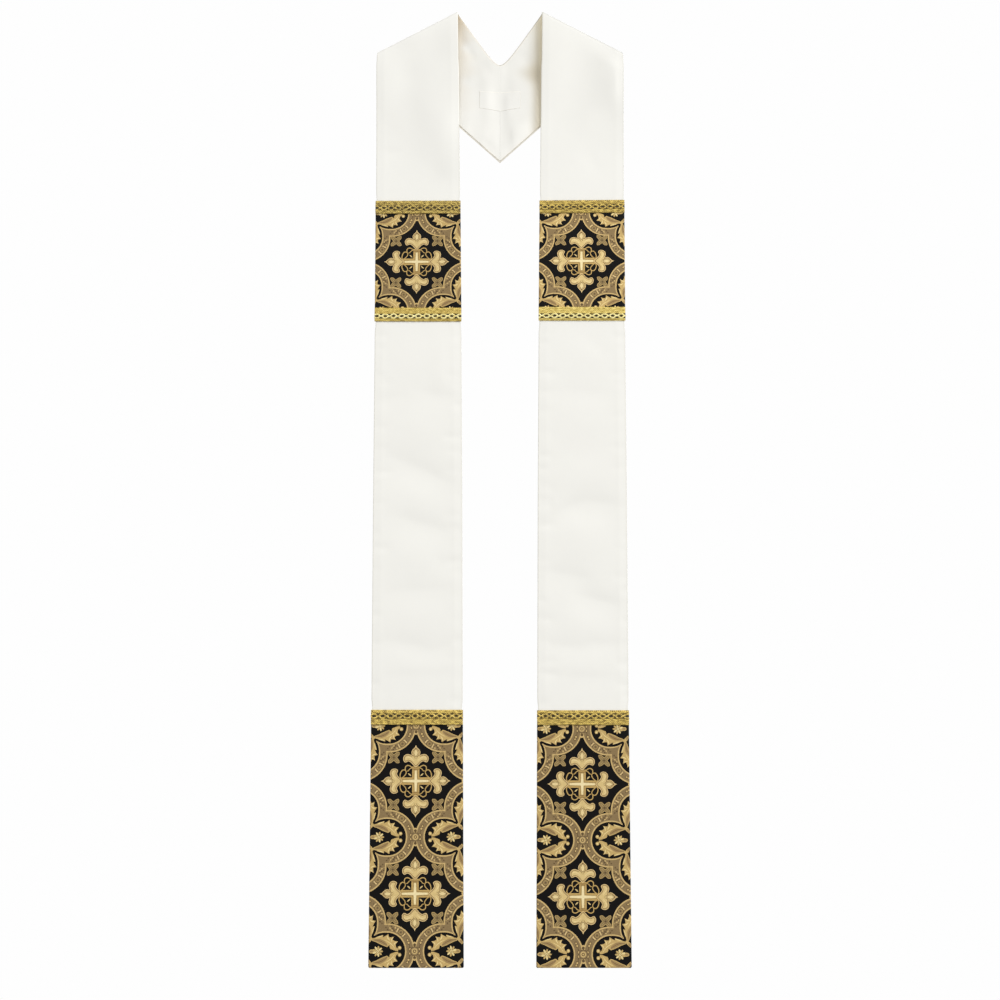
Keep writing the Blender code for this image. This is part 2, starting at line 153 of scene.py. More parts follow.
@dataclass
class StoleCut:
    """The outline of the stole and the way it lies on the table."""

    heights: Heights = field(default_factory=Heights)
    neck_point: Pair = (60.2 * MM, 661.6 * MM)
    shoulder_corner: Pair = (175.2 * MM, 597.4 * MM)
    neck_back_top: float = 582.1 * MM
    neck_back_tip: float = 432.7 * MM
    neckline_slope: float = 1.545
    hem_y: float = -662.3 * MM
    row_y: tuple[float, ...] = (-0.6616, -0.335, -0.053, 0.198, 0.376, 0.5974, 0.6616)
    row_inner: tuple[float, ...] = (0.0474, 0.0500, 0.0519, 0.0544, 0.0566, 0.0594, 0.0602)
    row_outer: tuple[float, ...] = (0.1666, 0.1680, 0.1702, 0.1716, 0.1729, 0.1752, 0.1752)
    fold_radius: float = 5.0 * MM
    fold_runout: float = 140.0 * MM
    neck_runout_start: float = 2.0 * MM
    neck_runout: float = 75.0 * MM
    fan_start: float = 400.0 * MM
    seam_gap: float = 0.02 * MM
    corner_round: float = 1.1 * MM
    free_spans: tuple[Triple, ...] = ((-0.333, 0.1965, 0.0010), (0.3775, 0.588, 0.0006))
    spread_run: float = 14.0 * MM
    fan_length: float = 240.0 * MM
    neck_length: float = 130.0 * MM
    seam_parts: tuple[float, ...] = (0.012, 0.003, 0.0002, 0.0)
    turn_rows: int = 17
    corner_sharpness: int = 6
    halvings: int = 50

    def __post_init__(self) -> None:
        """Works out the directions that the fold gives."""
        neck, corner = np.array(self.neck_point), np.array(self.shoulder_corner)
        self.shoulder_length = float(np.hypot(*(corner - neck)))
        self.with_fold = (corner - neck) / self.shoulder_length
        self.across_fold = np.array((-self.with_fold[1], self.with_fold[0]))
        self.fold_start = neck - (self.fold_radius + self.heights.outer_face) * self.across_fold
        self.fold_arc = math.pi * self.fold_radius
        self.axis_z = self.heights.outer_face + self.fold_radius
        edge = corner - np.array((0.0, self.neck_back_tip))
        self.neck_edge_slope = edge[1] / edge[0]
        self.past_neck_edge = np.array((edge[1], -edge[0])) / np.hypot(*edge)
        self.lift_at_fold = self.axis_z + self.fold_radius + self.heights.lining_face
        self.lift_on_neck = self.heights.outer_face - self.heights.lining_face + self.heights.gap

    def edges_at(self, y: Array) -> tuple[Array, Array]:
        """The edges of the front, which spreads a little where no band holds it.

        Args:
            y: places up the front.

        Returns:
            The X of its inner and of its outer edge there.
        """
        spread = np.zeros(np.shape(y))
        for low, high, most in self.free_spans:
            spread = spread + most * (1.0 - ease(np.minimum(y - low, high - y) / self.spread_run))
        inner, outer = (np.interp(y, self.row_y, row) for row in (self.row_inner, self.row_outer))
        return inner - spread, outer + spread

    def neckline(self, x: Array) -> Array:
        """Works out the neckline: a hyperbola, rounded at the centre back.

        Args:
            x: the X of its points.

        Returns:
            Their Y.
        """
        rise = self.neck_point[1] - self.neck_back_top
        reach = self.neckline_slope * self.neck_point[0]
        rounding = (reach * reach - rise * rise) / (2.0 * rise)
        return self.neck_back_top + np.hypot(self.neckline_slope * x, rounding) - rounding

    def neck_edge(self, x: Array) -> Array:
        """The Y of the straight lower edge of the back neck."""
        return self.neck_back_tip + x * self.neck_edge_slope

    def front_pattern(self, points: Array) -> Array:
        """Pattern coordinates of points of the front."""
        offset = points - self.fold_start
        return np.stack((offset @ self.with_fold, offset @ self.across_fold), axis=-1)

    def neck_pattern(self, points: Array) -> Array:
        """Unfolds the back neck, which runs on past the fold.

        Args:
            points: points of the back neck in plan.

        Returns:
            Their pattern coordinates.
        """
        pattern = self.front_pattern(points)
        pattern[..., 1] = self.fold_arc - pattern[..., 1]
        return pattern

    def unfolded(self, pattern: Array) -> Array:
        """Where pattern points lie in the plane of the front, before the shoulder was folded."""
        return self.fold_start + pattern[..., :1] * self.with_fold + pattern[..., 1:] * self.across_fold

    def plan(self, pattern: Array) -> Array:
        """Lays the pattern down as the stole lies.

        Args:
            pattern: the pattern coordinates of points.

        Returns:
            Where they lie in plan.
        """
        arc = pattern[..., 1:]
        across = np.where(arc > self.fold_arc / 2.0, self.fold_arc - arc, arc)
        return self.fold_start + pattern[..., :1] * self.with_fold + across * self.across_fold

    def front_lift(self, points: Array, arc: Array) -> Array:
        """Works out how high the front's underside stands over the table.

        Args:
            points: points in plan.
            arc: their arc.

        Returns:
            Their height.
        """
        past = (points - np.array(self.shoulder_corner)) @ self.past_neck_edge
        on_neck = ease((past - self.neck_runout_start) / self.neck_runout)
        risen = (self.lift_at_fold - self.lift_on_neck) * ease(-arc / self.fold_runout)
        return self.lift_on_neck * on_neck + risen

    def on_table(self, pattern: Array, height: Array, half: Half, lift: Array) -> Array:
        """Places pattern points on the table.

        Args:
            pattern: the points, as along and arc.
            height: their height over the middle of the cloth.
            half: the half of the stole.
            lift: how much further up the cloth lies there.

        Returns:
            Their X, Y and Z.
        """
        arc = pattern[..., 1]
        turn = np.clip(arc / self.fold_radius, 0.0, math.pi)
        reach = self.fold_radius + height
        across = np.where(arc >= self.fold_arc, self.fold_arc - arc, reach * np.sin(turn))
        across = np.where(arc <= 0.0, arc, across)
        points = self.fold_start + pattern[..., :1] * self.with_fold + across[..., None] * self.across_fold
        on_front = self.front_lift(points, arc) - self.heights.lining_face + height
        z = np.where(arc <= 0.0, on_front, self.axis_z + reach * np.cos(turn)) + lift
        return np.stack((half.value * points[..., 0], points[..., 1], z), axis=-1)

    def fold_crossing(self, curve: Callable[[float], Array], low: float, high: float) -> float:
        """Finds where a curve in plan crosses the axis of the fold.

        Args:
            curve: gives the point at a place along the curve.
            low: a place on the front's side of the axis.
            high: a place beyond the axis.

        Returns:
            The place of the crossing.
        """
        for _ in range(self.halvings):
            middle = (low + high) / 2.0
            if self.front_pattern(curve(middle))[1] < 0.0:
                low = middle
            else:
                high = middle
        return low

    def rows(self, hem: Array, spacing: float) -> tuple[Array, Array]:
        """The rows that a half is woven of, from the hem to the centre-back seam.

        Args:
            hem: distances from the hem of the first rows.
            spacing: the distance between the others.

        Returns:
            The inner and the outer end of each row, as pattern coordinates.
        """
        straight = np.arange(self.hem_y + hem[-1] + spacing, self.fan_start, spacing)
        y = np.concatenate((self.hem_y + hem, straight))
        fan_parts = np.linspace(0.0, 1.0, int(self.fan_length / spacing))
        even = np.linspace(1.0, 0.0, int(self.neck_length / spacing))[:-1]
        neck_parts = np.concatenate((even, self.seam_parts))
        seam = self.seam_gap / 2.0
        turns = np.linspace(0.0, 1.0, self.turn_rows + 2)[1:-1]
        reach = np.sin(turns * math.pi)
        sides = []
        for side, neck_curve, limit, corner, sign in (
            (0, self.neckline, self.neck_point[0], 0.0, 1.0),
            (1, self.neck_edge, self.shoulder_corner[0], self.shoulder_length, -1.0),
        ):

            def front(height: float, side: int = side) -> Array:
                """A point of this edge of the front."""
                return np.array((float(self.edges_at(height)[side]), height))

            def neck(x: float, curve: Callable = neck_curve) -> Array:
                """A point of this edge of the back neck."""
                return np.array((x, float(curve(x))))

            rows = [self.front_pattern(np.column_stack((self.edges_at(y)[side], y)))]
            end = self.fold_crossing(front, self.fan_start, self.neck_point[1])
            fan = np.array([front(self.fan_start + (end - self.fan_start) * part) for part in fan_parts])
            rows.append(self.front_pattern(fan))
            start = self.fold_crossing(neck, 0.0, limit)
            past = self.neck_pattern(np.array([neck(seam + (start - seam) * part) for part in neck_parts]))
            along = corner + (np.where(turns < 0.5, rows[-1][-1, 0], past[0, 0]) - corner) * (1.0 - reach)
            along = along + sign * self.corner_round * reach**self.corner_sharpness
            rows += [np.column_stack((along, turns * self.fold_arc)), past]
            sides.append(np.concatenate(rows))
        return sides[0], sides[1]


@dataclass(frozen=True)
class Crease:
    """A soft trough, or a ridge where its depth is below zero, along a bowed line between two points in plan.

    It is in millimetres. Where left_width is set, the cloth turns more sharply at the line and comes back
    over that width on its left.
    """

    x0: float
    y0: float
    x1: float
    y1: float
    width: float
    depth: float
    bow: float = 0.0
    left_width: float = 0.0

    def drop(self, x: Array, y: Array) -> Array:
        """Works out how far the cloth drops, all in millimetres.

        Args:
            x: the points' X.
            y: their Y.

        Returns:
            The drop at each.
        """
        run = np.array((self.x1 - self.x0, self.y1 - self.y0))
        length = float(np.hypot(*run))
        run = run / length
        part = ((x - self.x0) * run[0] + (y - self.y0) * run[1]) / length
        inside = np.clip(part, 0.0, 1.0)
        off = (y - self.y0) * run[0] - (x - self.x0) * run[1] - self.bow * 4.0 * inside * (1.0 - inside)
        profile = bell(off, self.width)
        if self.left_width:
            steep = LEFT_STEEPNESS * np.maximum(off, 0.0) / self.left_width
            profile = np.where(off > 0.0, (1.0 + steep) * np.exp(-steep), profile)
        return self.depth * profile * ease(np.abs(part - 0.5) * 2.0 - FULL_DEPTH_PART)


@dataclass(frozen=True)
class Swell:
    """A soft swell in millimetres, which fades to nothing at its half length and half width."""

    x: float
    y: float
    half_length: float
    half_width: float
    lift: float
    turn: float

    def rise(self, x: Array, y: Array) -> Array:
        """Works out how far the cloth rises, all in millimetres.

        Args:
            x: the points' X.
            y: their Y.

        Returns:
            The rise at each.
        """
        turn = math.radians(self.turn)
        along = ((x - self.x) * math.cos(turn) + (y - self.y) * math.sin(turn)) / self.half_length
        across = ((y - self.y) * math.cos(turn) - (x - self.x) * math.sin(turn)) / self.half_width
        inside = (np.abs(along) < 1.0) & (np.abs(across) < 1.0)
        rise = self.lift * (np.cos(along * math.pi / 2.0) * np.cos(across * math.pi / 2.0)) ** 2
        return np.where(inside, rise, 0.0)


@dataclass(frozen=True)
class ClothRelief:
    """The soft unevenness of the cloth: swells and creases of the fronts, and creases of the neck's lining.

    A wave is a share, a length along Y, a slant as a length along X, and a phase.
    """

    # x, y, half_length, half_width, lift, turn
    left_swells: tuple[Swell, ...] = table(
        Swell,
        (-112, 140, 51, 46, 0.5, -3),
        (-112, 48, 53, 42, 0.6, -13),
        (-111, -47, 51, 34, 0.5, -12),
        (-110, -130, 51, 48, 0.6, -2),
        (-109, -216, 51, 34, 0.5, 2),
        (-109, -282, 51, 32, 0.4, -3),
    )
    right_swells: tuple[Swell, ...] = table(
        Swell,
        (113, 150, 51, 44, 0.5, 2),
        (112, 56, 52, 42, 0.5, 4),
        (112, -18, 52, 32, 0.5, 8),
        (110, -104, 52, 44, 0.6, -8),
        (109, -220, 52, 36, 0.5, -6),
        (109, -280, 50, 30, 0.4, 4),
    )
    # x0, y0, x1, y1, width, depth, bow, left_width
    left_creases: tuple[Crease, ...] = table(
        Crease,
        (-176, 14, -46, -48, 34, 1.55, 7, 22),
        (-160, -73, -44, -106, 30, 1.25, 2, 19),
        (-96, -132, -46, -146, 16, 0.50, 0, 12),
        (-174, -180, -46, -176, 18, 0.55, 2, 14),
        (-174, -243, -84, -257, 18, 0.75, 3, 15),
        (-114, -266, -46, -242, 16, 0.55, 0, 15),
        (-172, -290, -46, -287, 14, 0.40, 0, 10),
        (-122, 99, -46, 89, 16, 0.60, 0, 13),
        (-174, 87, -122, 94, 14, 0.35, 0, 10),
        (-84, 200, -78, 76, 14, -0.60, 0, 20),
        (-128, 604, -124, 462, 19, 1.50),
        (-172, 452, -130, 447, 12, 0.30, 0, 10),
    )
    right_creases: tuple[Crease, ...] = table(
        Crease,
        (52, -90, 112, -54, 16, 0.75, 3, 14),
        (80, -60, 172, -64, 32, 1.45, 5, 19),
        (52, -156, 132, -168, 28, 1.15, 6, 18),
        (92, -181, 174, -202, 28, 1.25, 1, 17),
        (50, -249, 122, -255, 16, 0.65, 2, 14),
        (104, -246, 174, -250, 16, 0.75, 0, 14),
        (50, -289, 172, -292, 14, 0.40, 0, 10),
        (46, -25, 84, -43, 12, 0.40, 0, 10),
        (52, 100, 170, 93, 16, 0.35, 2, 13),
        (110, 182, 152, 148, 12, 0.35),
        (147, 664, 168, 506, 24, -2.40, 0, 18),
        (112, 470, 150, 400, 14, 0.40, 0, 20),
    )
    neck_creases: tuple[Crease, ...] = table(
        Crease,
        (0, 600, 0, 426, 9, 0.55),
        (2, 530, 15, 440, 7, 0.70, 1, 9),
        (7, 598, 8, 532, 7, 0.60, 0, 11),
        (28, 604, 54, 548, 8, 0.60, 4),
        (-20, 590, -18, 560, 7, 0.60),
        (-34, 560, -27, 466, 9, 0.70, 3),
        (-22, 472, -14, 444, 4.5, 0.60),
        (-56, 630, -34, 580, 7, 0.90),
        (-12, 464, -5, 440, 3, 0.30),
        (40, 520, 32, 470, 8, 0.45),
    )
    neck_puff: float = 0.2
    pucker_seed: int = 11
    puckers_per_edge: int = 19
    # The outer and the inner edge of a front, each with its way inward, before the half's sign
    pucker_edges: tuple[Pair, ...] = ((171.0, -1.0), (52.0, 1.0))
    pucker_span: Pair = (-322.0, 186.0)
    pucker_stray: float = 11.0
    pucker_least: Triple = (11.0, 0.1, -5.0)
    pucker_most: Triple = (30.0, 0.5, 5.0)
    pucker_width: float = 6.0
    pucker_left_width: float = 7.0
    pucker_outset: float = 5.0
    waves: tuple[tuple[float, ...], ...] = (
        (1.0, 61.0, math.inf, 0.0), (0.8, 37.0, 50.0, 1.3), (0.6, 103.0, -39.0, 0.0)
    )
    wave_rise: float = 0.22
    wave_height: float = 0.09
    wave_shift: float = 37.0

    def puckers(self, half: Half) -> list[Crease]:
        """Short, slight creases that run in from both edges of a front.

        Args:
            half: the half of the stole.

        Returns:
            The creases.
        """
        random = np.random.default_rng(self.pucker_seed + half.value)
        count, stray = self.puckers_per_edge, self.pucker_stray
        found = []
        for off, way in self.pucker_edges[:: -half.value]:
            edge, inward = off * half.value, way * half.value
            for y in np.linspace(*self.pucker_span, count) + random.uniform(-stray, stray, count):
                length, depth, tilt = random.uniform(self.pucker_least, self.pucker_most)
                ends = sorted(((edge - self.pucker_outset * inward, y), (edge + inward * length, y + tilt)))
                widths = {"width": self.pucker_width, "left_width": self.pucker_left_width}
                found.append(Crease(*ends[0], *ends[1], depth=depth, **widths))
        return found

    def every_layer(self, half: Half, x: Array, y: Array) -> Array:
        """The slight waviness that all layers of a front share.

        Args:
            half: the half of the stole.
            x: the points' X, with the half's sign.
            y: their Y.

        Returns:
            The rise at each.
        """
        x, y = x / MM, y / MM + self.wave_shift * half.value
        wave = sum(share * np.sin(y / run + x / slant + phase) for share, run, slant, phase in self.waves)
        return (self.wave_rise + self.wave_height * wave) * MM

    def outer_cloth(self, half: Half, x: Array, y: Array) -> Array:
        """How far the outer cloth of a front rises over the lining.

        Args:
            half: the half of the stole.
            x: the points' X, with the half's sign.
            y: their Y.

        Returns:
            The rise at each.
        """
        swells, creases = self.left_swells, self.left_creases
        if half is Half.RIGHT:
            swells, creases = self.right_swells, self.right_creases
        x, y = x / MM, y / MM
        lift = sum(swell.rise(x, y) for swell in swells)
        lift = lift - sum(crease.drop(x, y) for crease in (*creases, *self.puckers(half)))
        return lift * MM

    def neck(self, x: Array, y: Array) -> Array:
        """How far the lining puffs up over the back neck, where x has the half's sign."""
        return (self.neck_puff - sum(crease.drop(x / MM, y / MM) for crease in self.neck_creases)) * MM


class Rim(Enum):
    """Which way an edge of the cloth faces, and what it lies on."""

    FACES_LEFT = 0
    FACES_RIGHT = 1
    LEFT_ON_NECK = 2
    RIGHT_ON_NECK = 3
    NECKLINE = 4
    NECK_EDGE = 5


@dataclass(frozen=True)
class PaintedShadePatch:
    """A soft patch of painted light in millimetres, lighter by a share of the cloth's colour, or of painted
    shade if the share is below zero.
    """

    x: float
    y: float
    half_x: float
    half_y: float
    share: float

    def factor(self, x: Array, y: Array) -> Array:
        """The factor for the painted light or shade at these points."""
        off_x, off_y = (x / MM - self.x) / self.half_x, (y / MM - self.y) / self.half_y
        return 1.0 + self.share * np.exp(-off_x * off_x - off_y * off_y)


@dataclass(frozen=True)
class PaintedClothShading:
    """Painted light and shade on the cloth, as factors for each channel of its own colour."""

    edge_width: float = 1.3 * MM
    # One colour for each Rim: a painted shade or painted light along that edge, by the way it faces and what
    # it lies on
    edges: tuple[Colour, ...] = (
        (0.95, 0.94, 0.91), (0.84, 0.83, 0.80), (0.81, 0.79, 0.74),
        (1.04, 1.04, 1.03), (1.25, 1.22, 1.16), (1.46, 1.38, 1.25),
    )
    # Painted light along the lining's edges
    lining_edge: Colour = (1.06, 1.03, 0.98)
    # Painted light over the allowance behind an edge that faces right, and painted shade behind one that
    # faces left
    allowance: float = 10.5 * MM
    allowance_blur: float = 0.5 * MM
    allowance_shading: tuple[float, ...] = (0.99, 1.016, 0.99, 1.016, 1.0, 1.0)
    # Painted shade along the shoulder fold, deeper on the right half
    fold_start: float = -0.5 * MM
    fold_width: float = 5.0 * MM
    left_fold_shade: float = 0.79
    right_fold_shade: float = 0.68
    # A band of warm painted shade on the lining beside the left front's inner edge, and a patch of it at the
    # top
    left_x: float = -60.0 * MM
    left_reach: float = 16.0 * MM
    left_rise_mm: Pair = (480.0, 620.0)
    # The painted shade band's unevenness as share, length and phase
    left_waves: tuple[Triple, ...] = ((0.35, 9.0 * MM, 0.0), (0.2, 4.1 * MM, 1.0))
    left_neck_shade: Colour = (0.93, 0.875, 0.80)
    top_place: Pair = (-62.0 * MM, 655.0 * MM)
    top_stretch: float = 0.55
    top_reach: float = 14.0 * MM
    left_top: Colour = (0.84, 0.77, 0.66)
    # A warm painted glow of light on the lining beside the right front's inner edge, wider at the belly
    glow_x: float = 61.0 * MM
    glow_reach: float = 12.0 * MM
    glow: Colour = (1.10, 1.02, 0.83)
    belly_y: float = 569.0 * MM
    belly_half: float = 14.0 * MM
    glow_belly: float = 0.8
    shadow_x: float = 52.5 * MM
    shadow_right: float = 5.6 * MM
    # Two heights in millimetres, and what the shadow is at each
    shadow_depths: tuple[Pair, Pair] = ((560.0, 625.0), (0.31, 0.03))
    shadow_reaches_mm: tuple[Pair, Pair] = ((566.0, 595.0), (6.8, 11.0))
    belly_depth: float = 0.1
    belly_reach_mm: float = 10.0
    shadow_tint: Colour = (1.0, 1.05, 1.11)
    # Patches of painted light and painted shade on the upper fronts, standing in for the shading of their
    # soft creases
    # x, y, half_x, half_y, share
    outer_shade_patches: tuple[PaintedShadePatch, ...] = table(
        PaintedShadePatch,
        (92, 566, 26, 62, 0.055),
        (-79, 613, 23, 32, -0.045),
        (-153, 540, 16, 35, 0.045),
        (-108, 452, 38, 48, -0.035),
        (-68, 478, 13, 42, 0.055),
        (-82, 418, 14, 18, -0.035),
        (-136, 612, 24, 16, -0.04),
        (157, 594, 20, 19, -0.05),
        (166, 536, 7, 22, 0.07),
        (138, 497, 20, 26, 0.03),
    )
    # Patches of painted light and painted shade on the back neck's lining, standing in for the shading of its
    # creases
    lining_shade_patches: tuple[PaintedShadePatch, ...] = table(
        PaintedShadePatch,
        (-57, 612, 2.8, 52, 0.19),
        (-41, 505, 8, 34, 0.035),
        (-42, 480, 5, 14, 0.04),
        (-45, 560, 4, 9, -0.035),
        (-25, 568, 7, 22, -0.04),
        (-12, 500, 9, 66, 0.055),
        (-13, 530, 7, 18, 0.045),
        (-19, 470, 4, 12, 0.04),
        (-3, 470, 4.5, 30, 0.045),
        (8, 576, 5, 14, 0.045),
        (8, 530, 4, 12, -0.045),
        (8, 492, 5, 34, -0.04),
        (8, 447, 6, 9, 0.055),
        (17, 545, 5, 14, -0.04),
        (15, 510, 5, 8, 0.03),
        (16, 472, 4, 14, -0.085),
        (26, 461, 6, 10, 0.055),
        (30, 497, 5, 9, -0.035),
        (34, 484, 12, 26, 0.055),
        (42, 482, 7, 14, 0.045),
        (46, 610, 8, 24, -0.035),
    )

    def edge(self, side: Array, colour: Array) -> Array:
        """The thin line of painted shade or painted light along every edge."""
        return 1.0 - bell(side, self.edge_width)[..., None] * (1.0 - colour)

    def patch_shading(self, x: Array, y: Array, patches: tuple[PaintedShadePatch, ...]) -> Array:
        """The painted light and shade that these patches give."""
        return math.prod(patch.factor(x, y) for patch in patches)[..., None]

    def outer(self, side: Array, rim: Array, arc: Array, place: Array) -> Array:
        """The painted light and shade of the outer cloth: along its edges, over the allowances behind them,
        and at the shoulder fold.

        Args:
            side: how far the points lie from the nearest edge.
            rim: the number of the Rim there.
            arc: their arc.
            place: their X and Y.

        Returns:
            Their painted light and shade.
        """
        # Painted light or shade over the allowance behind each edge
        double = 1.0 / (1.0 + np.exp((side - self.allowance) / self.allowance_blur))
        painted_shading = 1.0 - double * (1.0 - np.array(self.allowance_shading)[rim])
        # Painted shade at the shoulder fold
        fold = np.where(place[:, 0] < 0.0, self.left_fold_shade, self.right_fold_shade)
        painted_shading = painted_shading * (1.0 - (1.0 - fold) * (1.0 - ease((arc - self.fold_start) / self.fold_width)))
        # Painted shade or painted light along each edge, by its Rim
        colour = np.array(self.edges)[rim]
        return self.edge(side, colour) * painted_shading[..., None] * self.patch_shading(*place.T, self.outer_shade_patches)

    def lining(self, side: Array, place: Array) -> Array:
        """The painted light and shade of the lining: warm painted shade beside the folds of the back neck,
        and a painted glow and a painted shadow beside the right front.

        Args:
            side: how far the points lie from the nearest edge.
            place: their X and Y.

        Returns:
            Their tone.
        """
        x, y = place.T
        painted_shading = self.edge(side, np.array(self.lining_edge)) * self.patch_shading(x, y, self.lining_shade_patches)
        uneven = 1.0 + sum(share * np.sin(y / run + phase) for share, run, phase in self.left_waves)
        # Warm painted shade beside the left front, and a painted glow beside the right front
        left = bell(x - self.left_x, self.left_reach * uneven) * (x < 0.0)
        left = left * np.interp(y / MM, self.left_rise_mm, (0.0, 1.0))
        off_top = np.hypot(x - self.top_place[0], (y - self.top_place[1]) * self.top_stretch)
        belly = bell(y - self.belly_y, self.belly_half)
        right = bell(x - self.glow_x, self.glow_reach * (1.0 + self.glow_belly * belly)) * (x > 0.0)
        for colour, share in (
            (self.left_neck_shade, left), (self.left_top, bell(off_top, self.top_reach)), (self.glow, right)
        ):
            painted_shading = painted_shading * (1.0 - share[..., None] * (1.0 - np.array(colour)))
        depth = np.interp(y / MM, *self.shadow_depths) + self.belly_depth * belly
        reach = (np.interp(y / MM, *self.shadow_reaches_mm) + self.belly_reach_mm * belly) * MM
        off = x - self.shadow_x
        shadow = depth * bell(off, np.where(off < 0.0, reach, self.shadow_right)) * (x > 0.0)
        return painted_shading * (1.0 - shadow[..., None] * np.array(self.shadow_tint))


# ---- Meshes and materials ----


@dataclass
class Surface:
    """A closed mesh in the making."""

    points: Array
    faces: Faces
    uv: Array | None = None
    face_colours: Array | None = None
    face_materials: Array | None = None
    painted_shading: Array | None = None

    def piece(self, name: str, materials: list[Material], slot: str) -> Object:
        """Makes the mesh an object of the stole.

        Args:
            name: the object's name.
            materials: its materials, in the order of face_materials.
            slot: not used.

        Returns:
            The object, which rides on the stole.
        """
        mesh = bpy.data.meshes.new(name)
        mesh.from_pydata(self.points.tolist(), [], self.faces)
        for material in materials:
            mesh.materials.append(material)
        corners = np.empty(len(mesh.loops), np.int32)
        mesh.loops.foreach_get("vertex_index", corners)
        if self.uv is not None:
            layer = mesh.uv_layers.new(name="cloth")
            layer.data.foreach_set("uv", self.uv[corners].astype(np.float32).ravel())
        if self.face_materials is not None:
            mesh.polygons.foreach_set("material_index", self.face_materials.astype(np.int32))
        attributes = []
        if self.face_colours is not None:
            totals = np.empty(len(mesh.polygons), np.int32)
            mesh.polygons.foreach_get("loop_total", totals)
            attributes.append(("thread", "CORNER", np.repeat(self.face_colours, totals, axis=0)))
        # The painted light and shade, one colour for each point
        if self.painted_shading is not None:
            attributes.append(("painted_shading", "POINT", self.painted_shading))
        for label, domain, colours in attributes:
            layer = mesh.color_attributes.new(name=label, type="FLOAT_COLOR", domain=domain)
            opaque = np.column_stack((colours, np.ones(len(colours)))).astype(np.float32)
            layer.data.foreach_set("color", opaque.ravel())
        mesh.shade_smooth()
        obj = linked(name, mesh)
        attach(obj, "root")
        return obj


class Tree:
    """Adds nodes to a node tree and joins them."""

    def __init__(self, nodes: NodeTree) -> None:
        """Keeps the tree."""
        self.nodes = nodes

    def fill(self, node: Node, **inputs: object) -> None:
        """Fills the inputs of a node.

        Args:
            node: the node.
            **inputs: a value or a socket to join for each input, by its name with _ for a space, or by i and
                its number.
        """
        for name, value in inputs.items():
            numbered = name[0] == "i" and name[1:].isdigit()
            socket = node.inputs[int(name[1:]) if numbered else name.replace("_", " ")]
            if isinstance(value, NodeSocket):
                self.nodes.links.new(value, socket)
            else:
                socket.default_value = value

    def add(
        self, kind: str, settings: dict | None = None, output: int | str = 0, **inputs: object
    ) -> NodeSocket:
        """Adds a node.

        Args:
            kind: the node's type.
            settings: its own properties.
            output: the number or the name of the output that is wanted.
            **inputs: its inputs, as for fill.

        Returns:
            The socket of that output.
        """
        node = self.nodes.nodes.new(kind)
        for name, value in (settings or {}).items():
            setattr(node, name, value)
        self.fill(node, **inputs)
        return node.outputs[output]

    def math(self, operation: str, first: Value, second: Value = 0.0) -> NodeSocket:
        """The result of a Math node on two values or sockets."""
        return self.add("ShaderNodeMath", {"operation": operation}, i0=first, i1=second)

    def blend(self, first: Value, first_share: float, second: Value, second_share: float) -> NodeSocket:
        """The sum of two values or sockets, each times its share."""
        parts = [self.math("MULTIPLY", *part) for part in ((first, first_share), (second, second_share))]
        return self.math("ADD", *parts)

    def waves(self, length_mm: float, direction: str, **inputs: object) -> NodeSocket:
        """Adds sine bands across one direction.

        Args:
            length_mm: the length of a wave.
            direction: the way they run on.
            **inputs: what else the texture takes.

        Returns:
            The socket of their height.
        """
        settings = {"wave_type": "BANDS", "bands_direction": direction, "wave_profile": "SIN"}
        scale = 2.0 * math.pi / WAVE_RADIANS / (length_mm * MM)
        return self.add("ShaderNodeTexWave", settings, "Fac", Scale=scale, **inputs)


def linked(name: str, data: bpy.types.ID) -> Object:
    """Makes an object and links it to the scene.

    Args:
        name: its name.
        data: its mesh, light or camera.

    Returns:
        The object.
    """
    obj = bpy.data.objects.new(name, data)
    bpy.context.scene.collection.objects.link(obj)
    return obj


def new_material(name: str) -> tuple[Material, Tree, Node]:
    """Starts a material.

    Args:
        name: its name.

    Returns:
        The material, its tree and its Principled shader.
    """
    material = bpy.data.materials.new(name)
    material.use_nodes = True
    return material, Tree(material.node_tree), material.node_tree.nodes["Principled BSDF"]


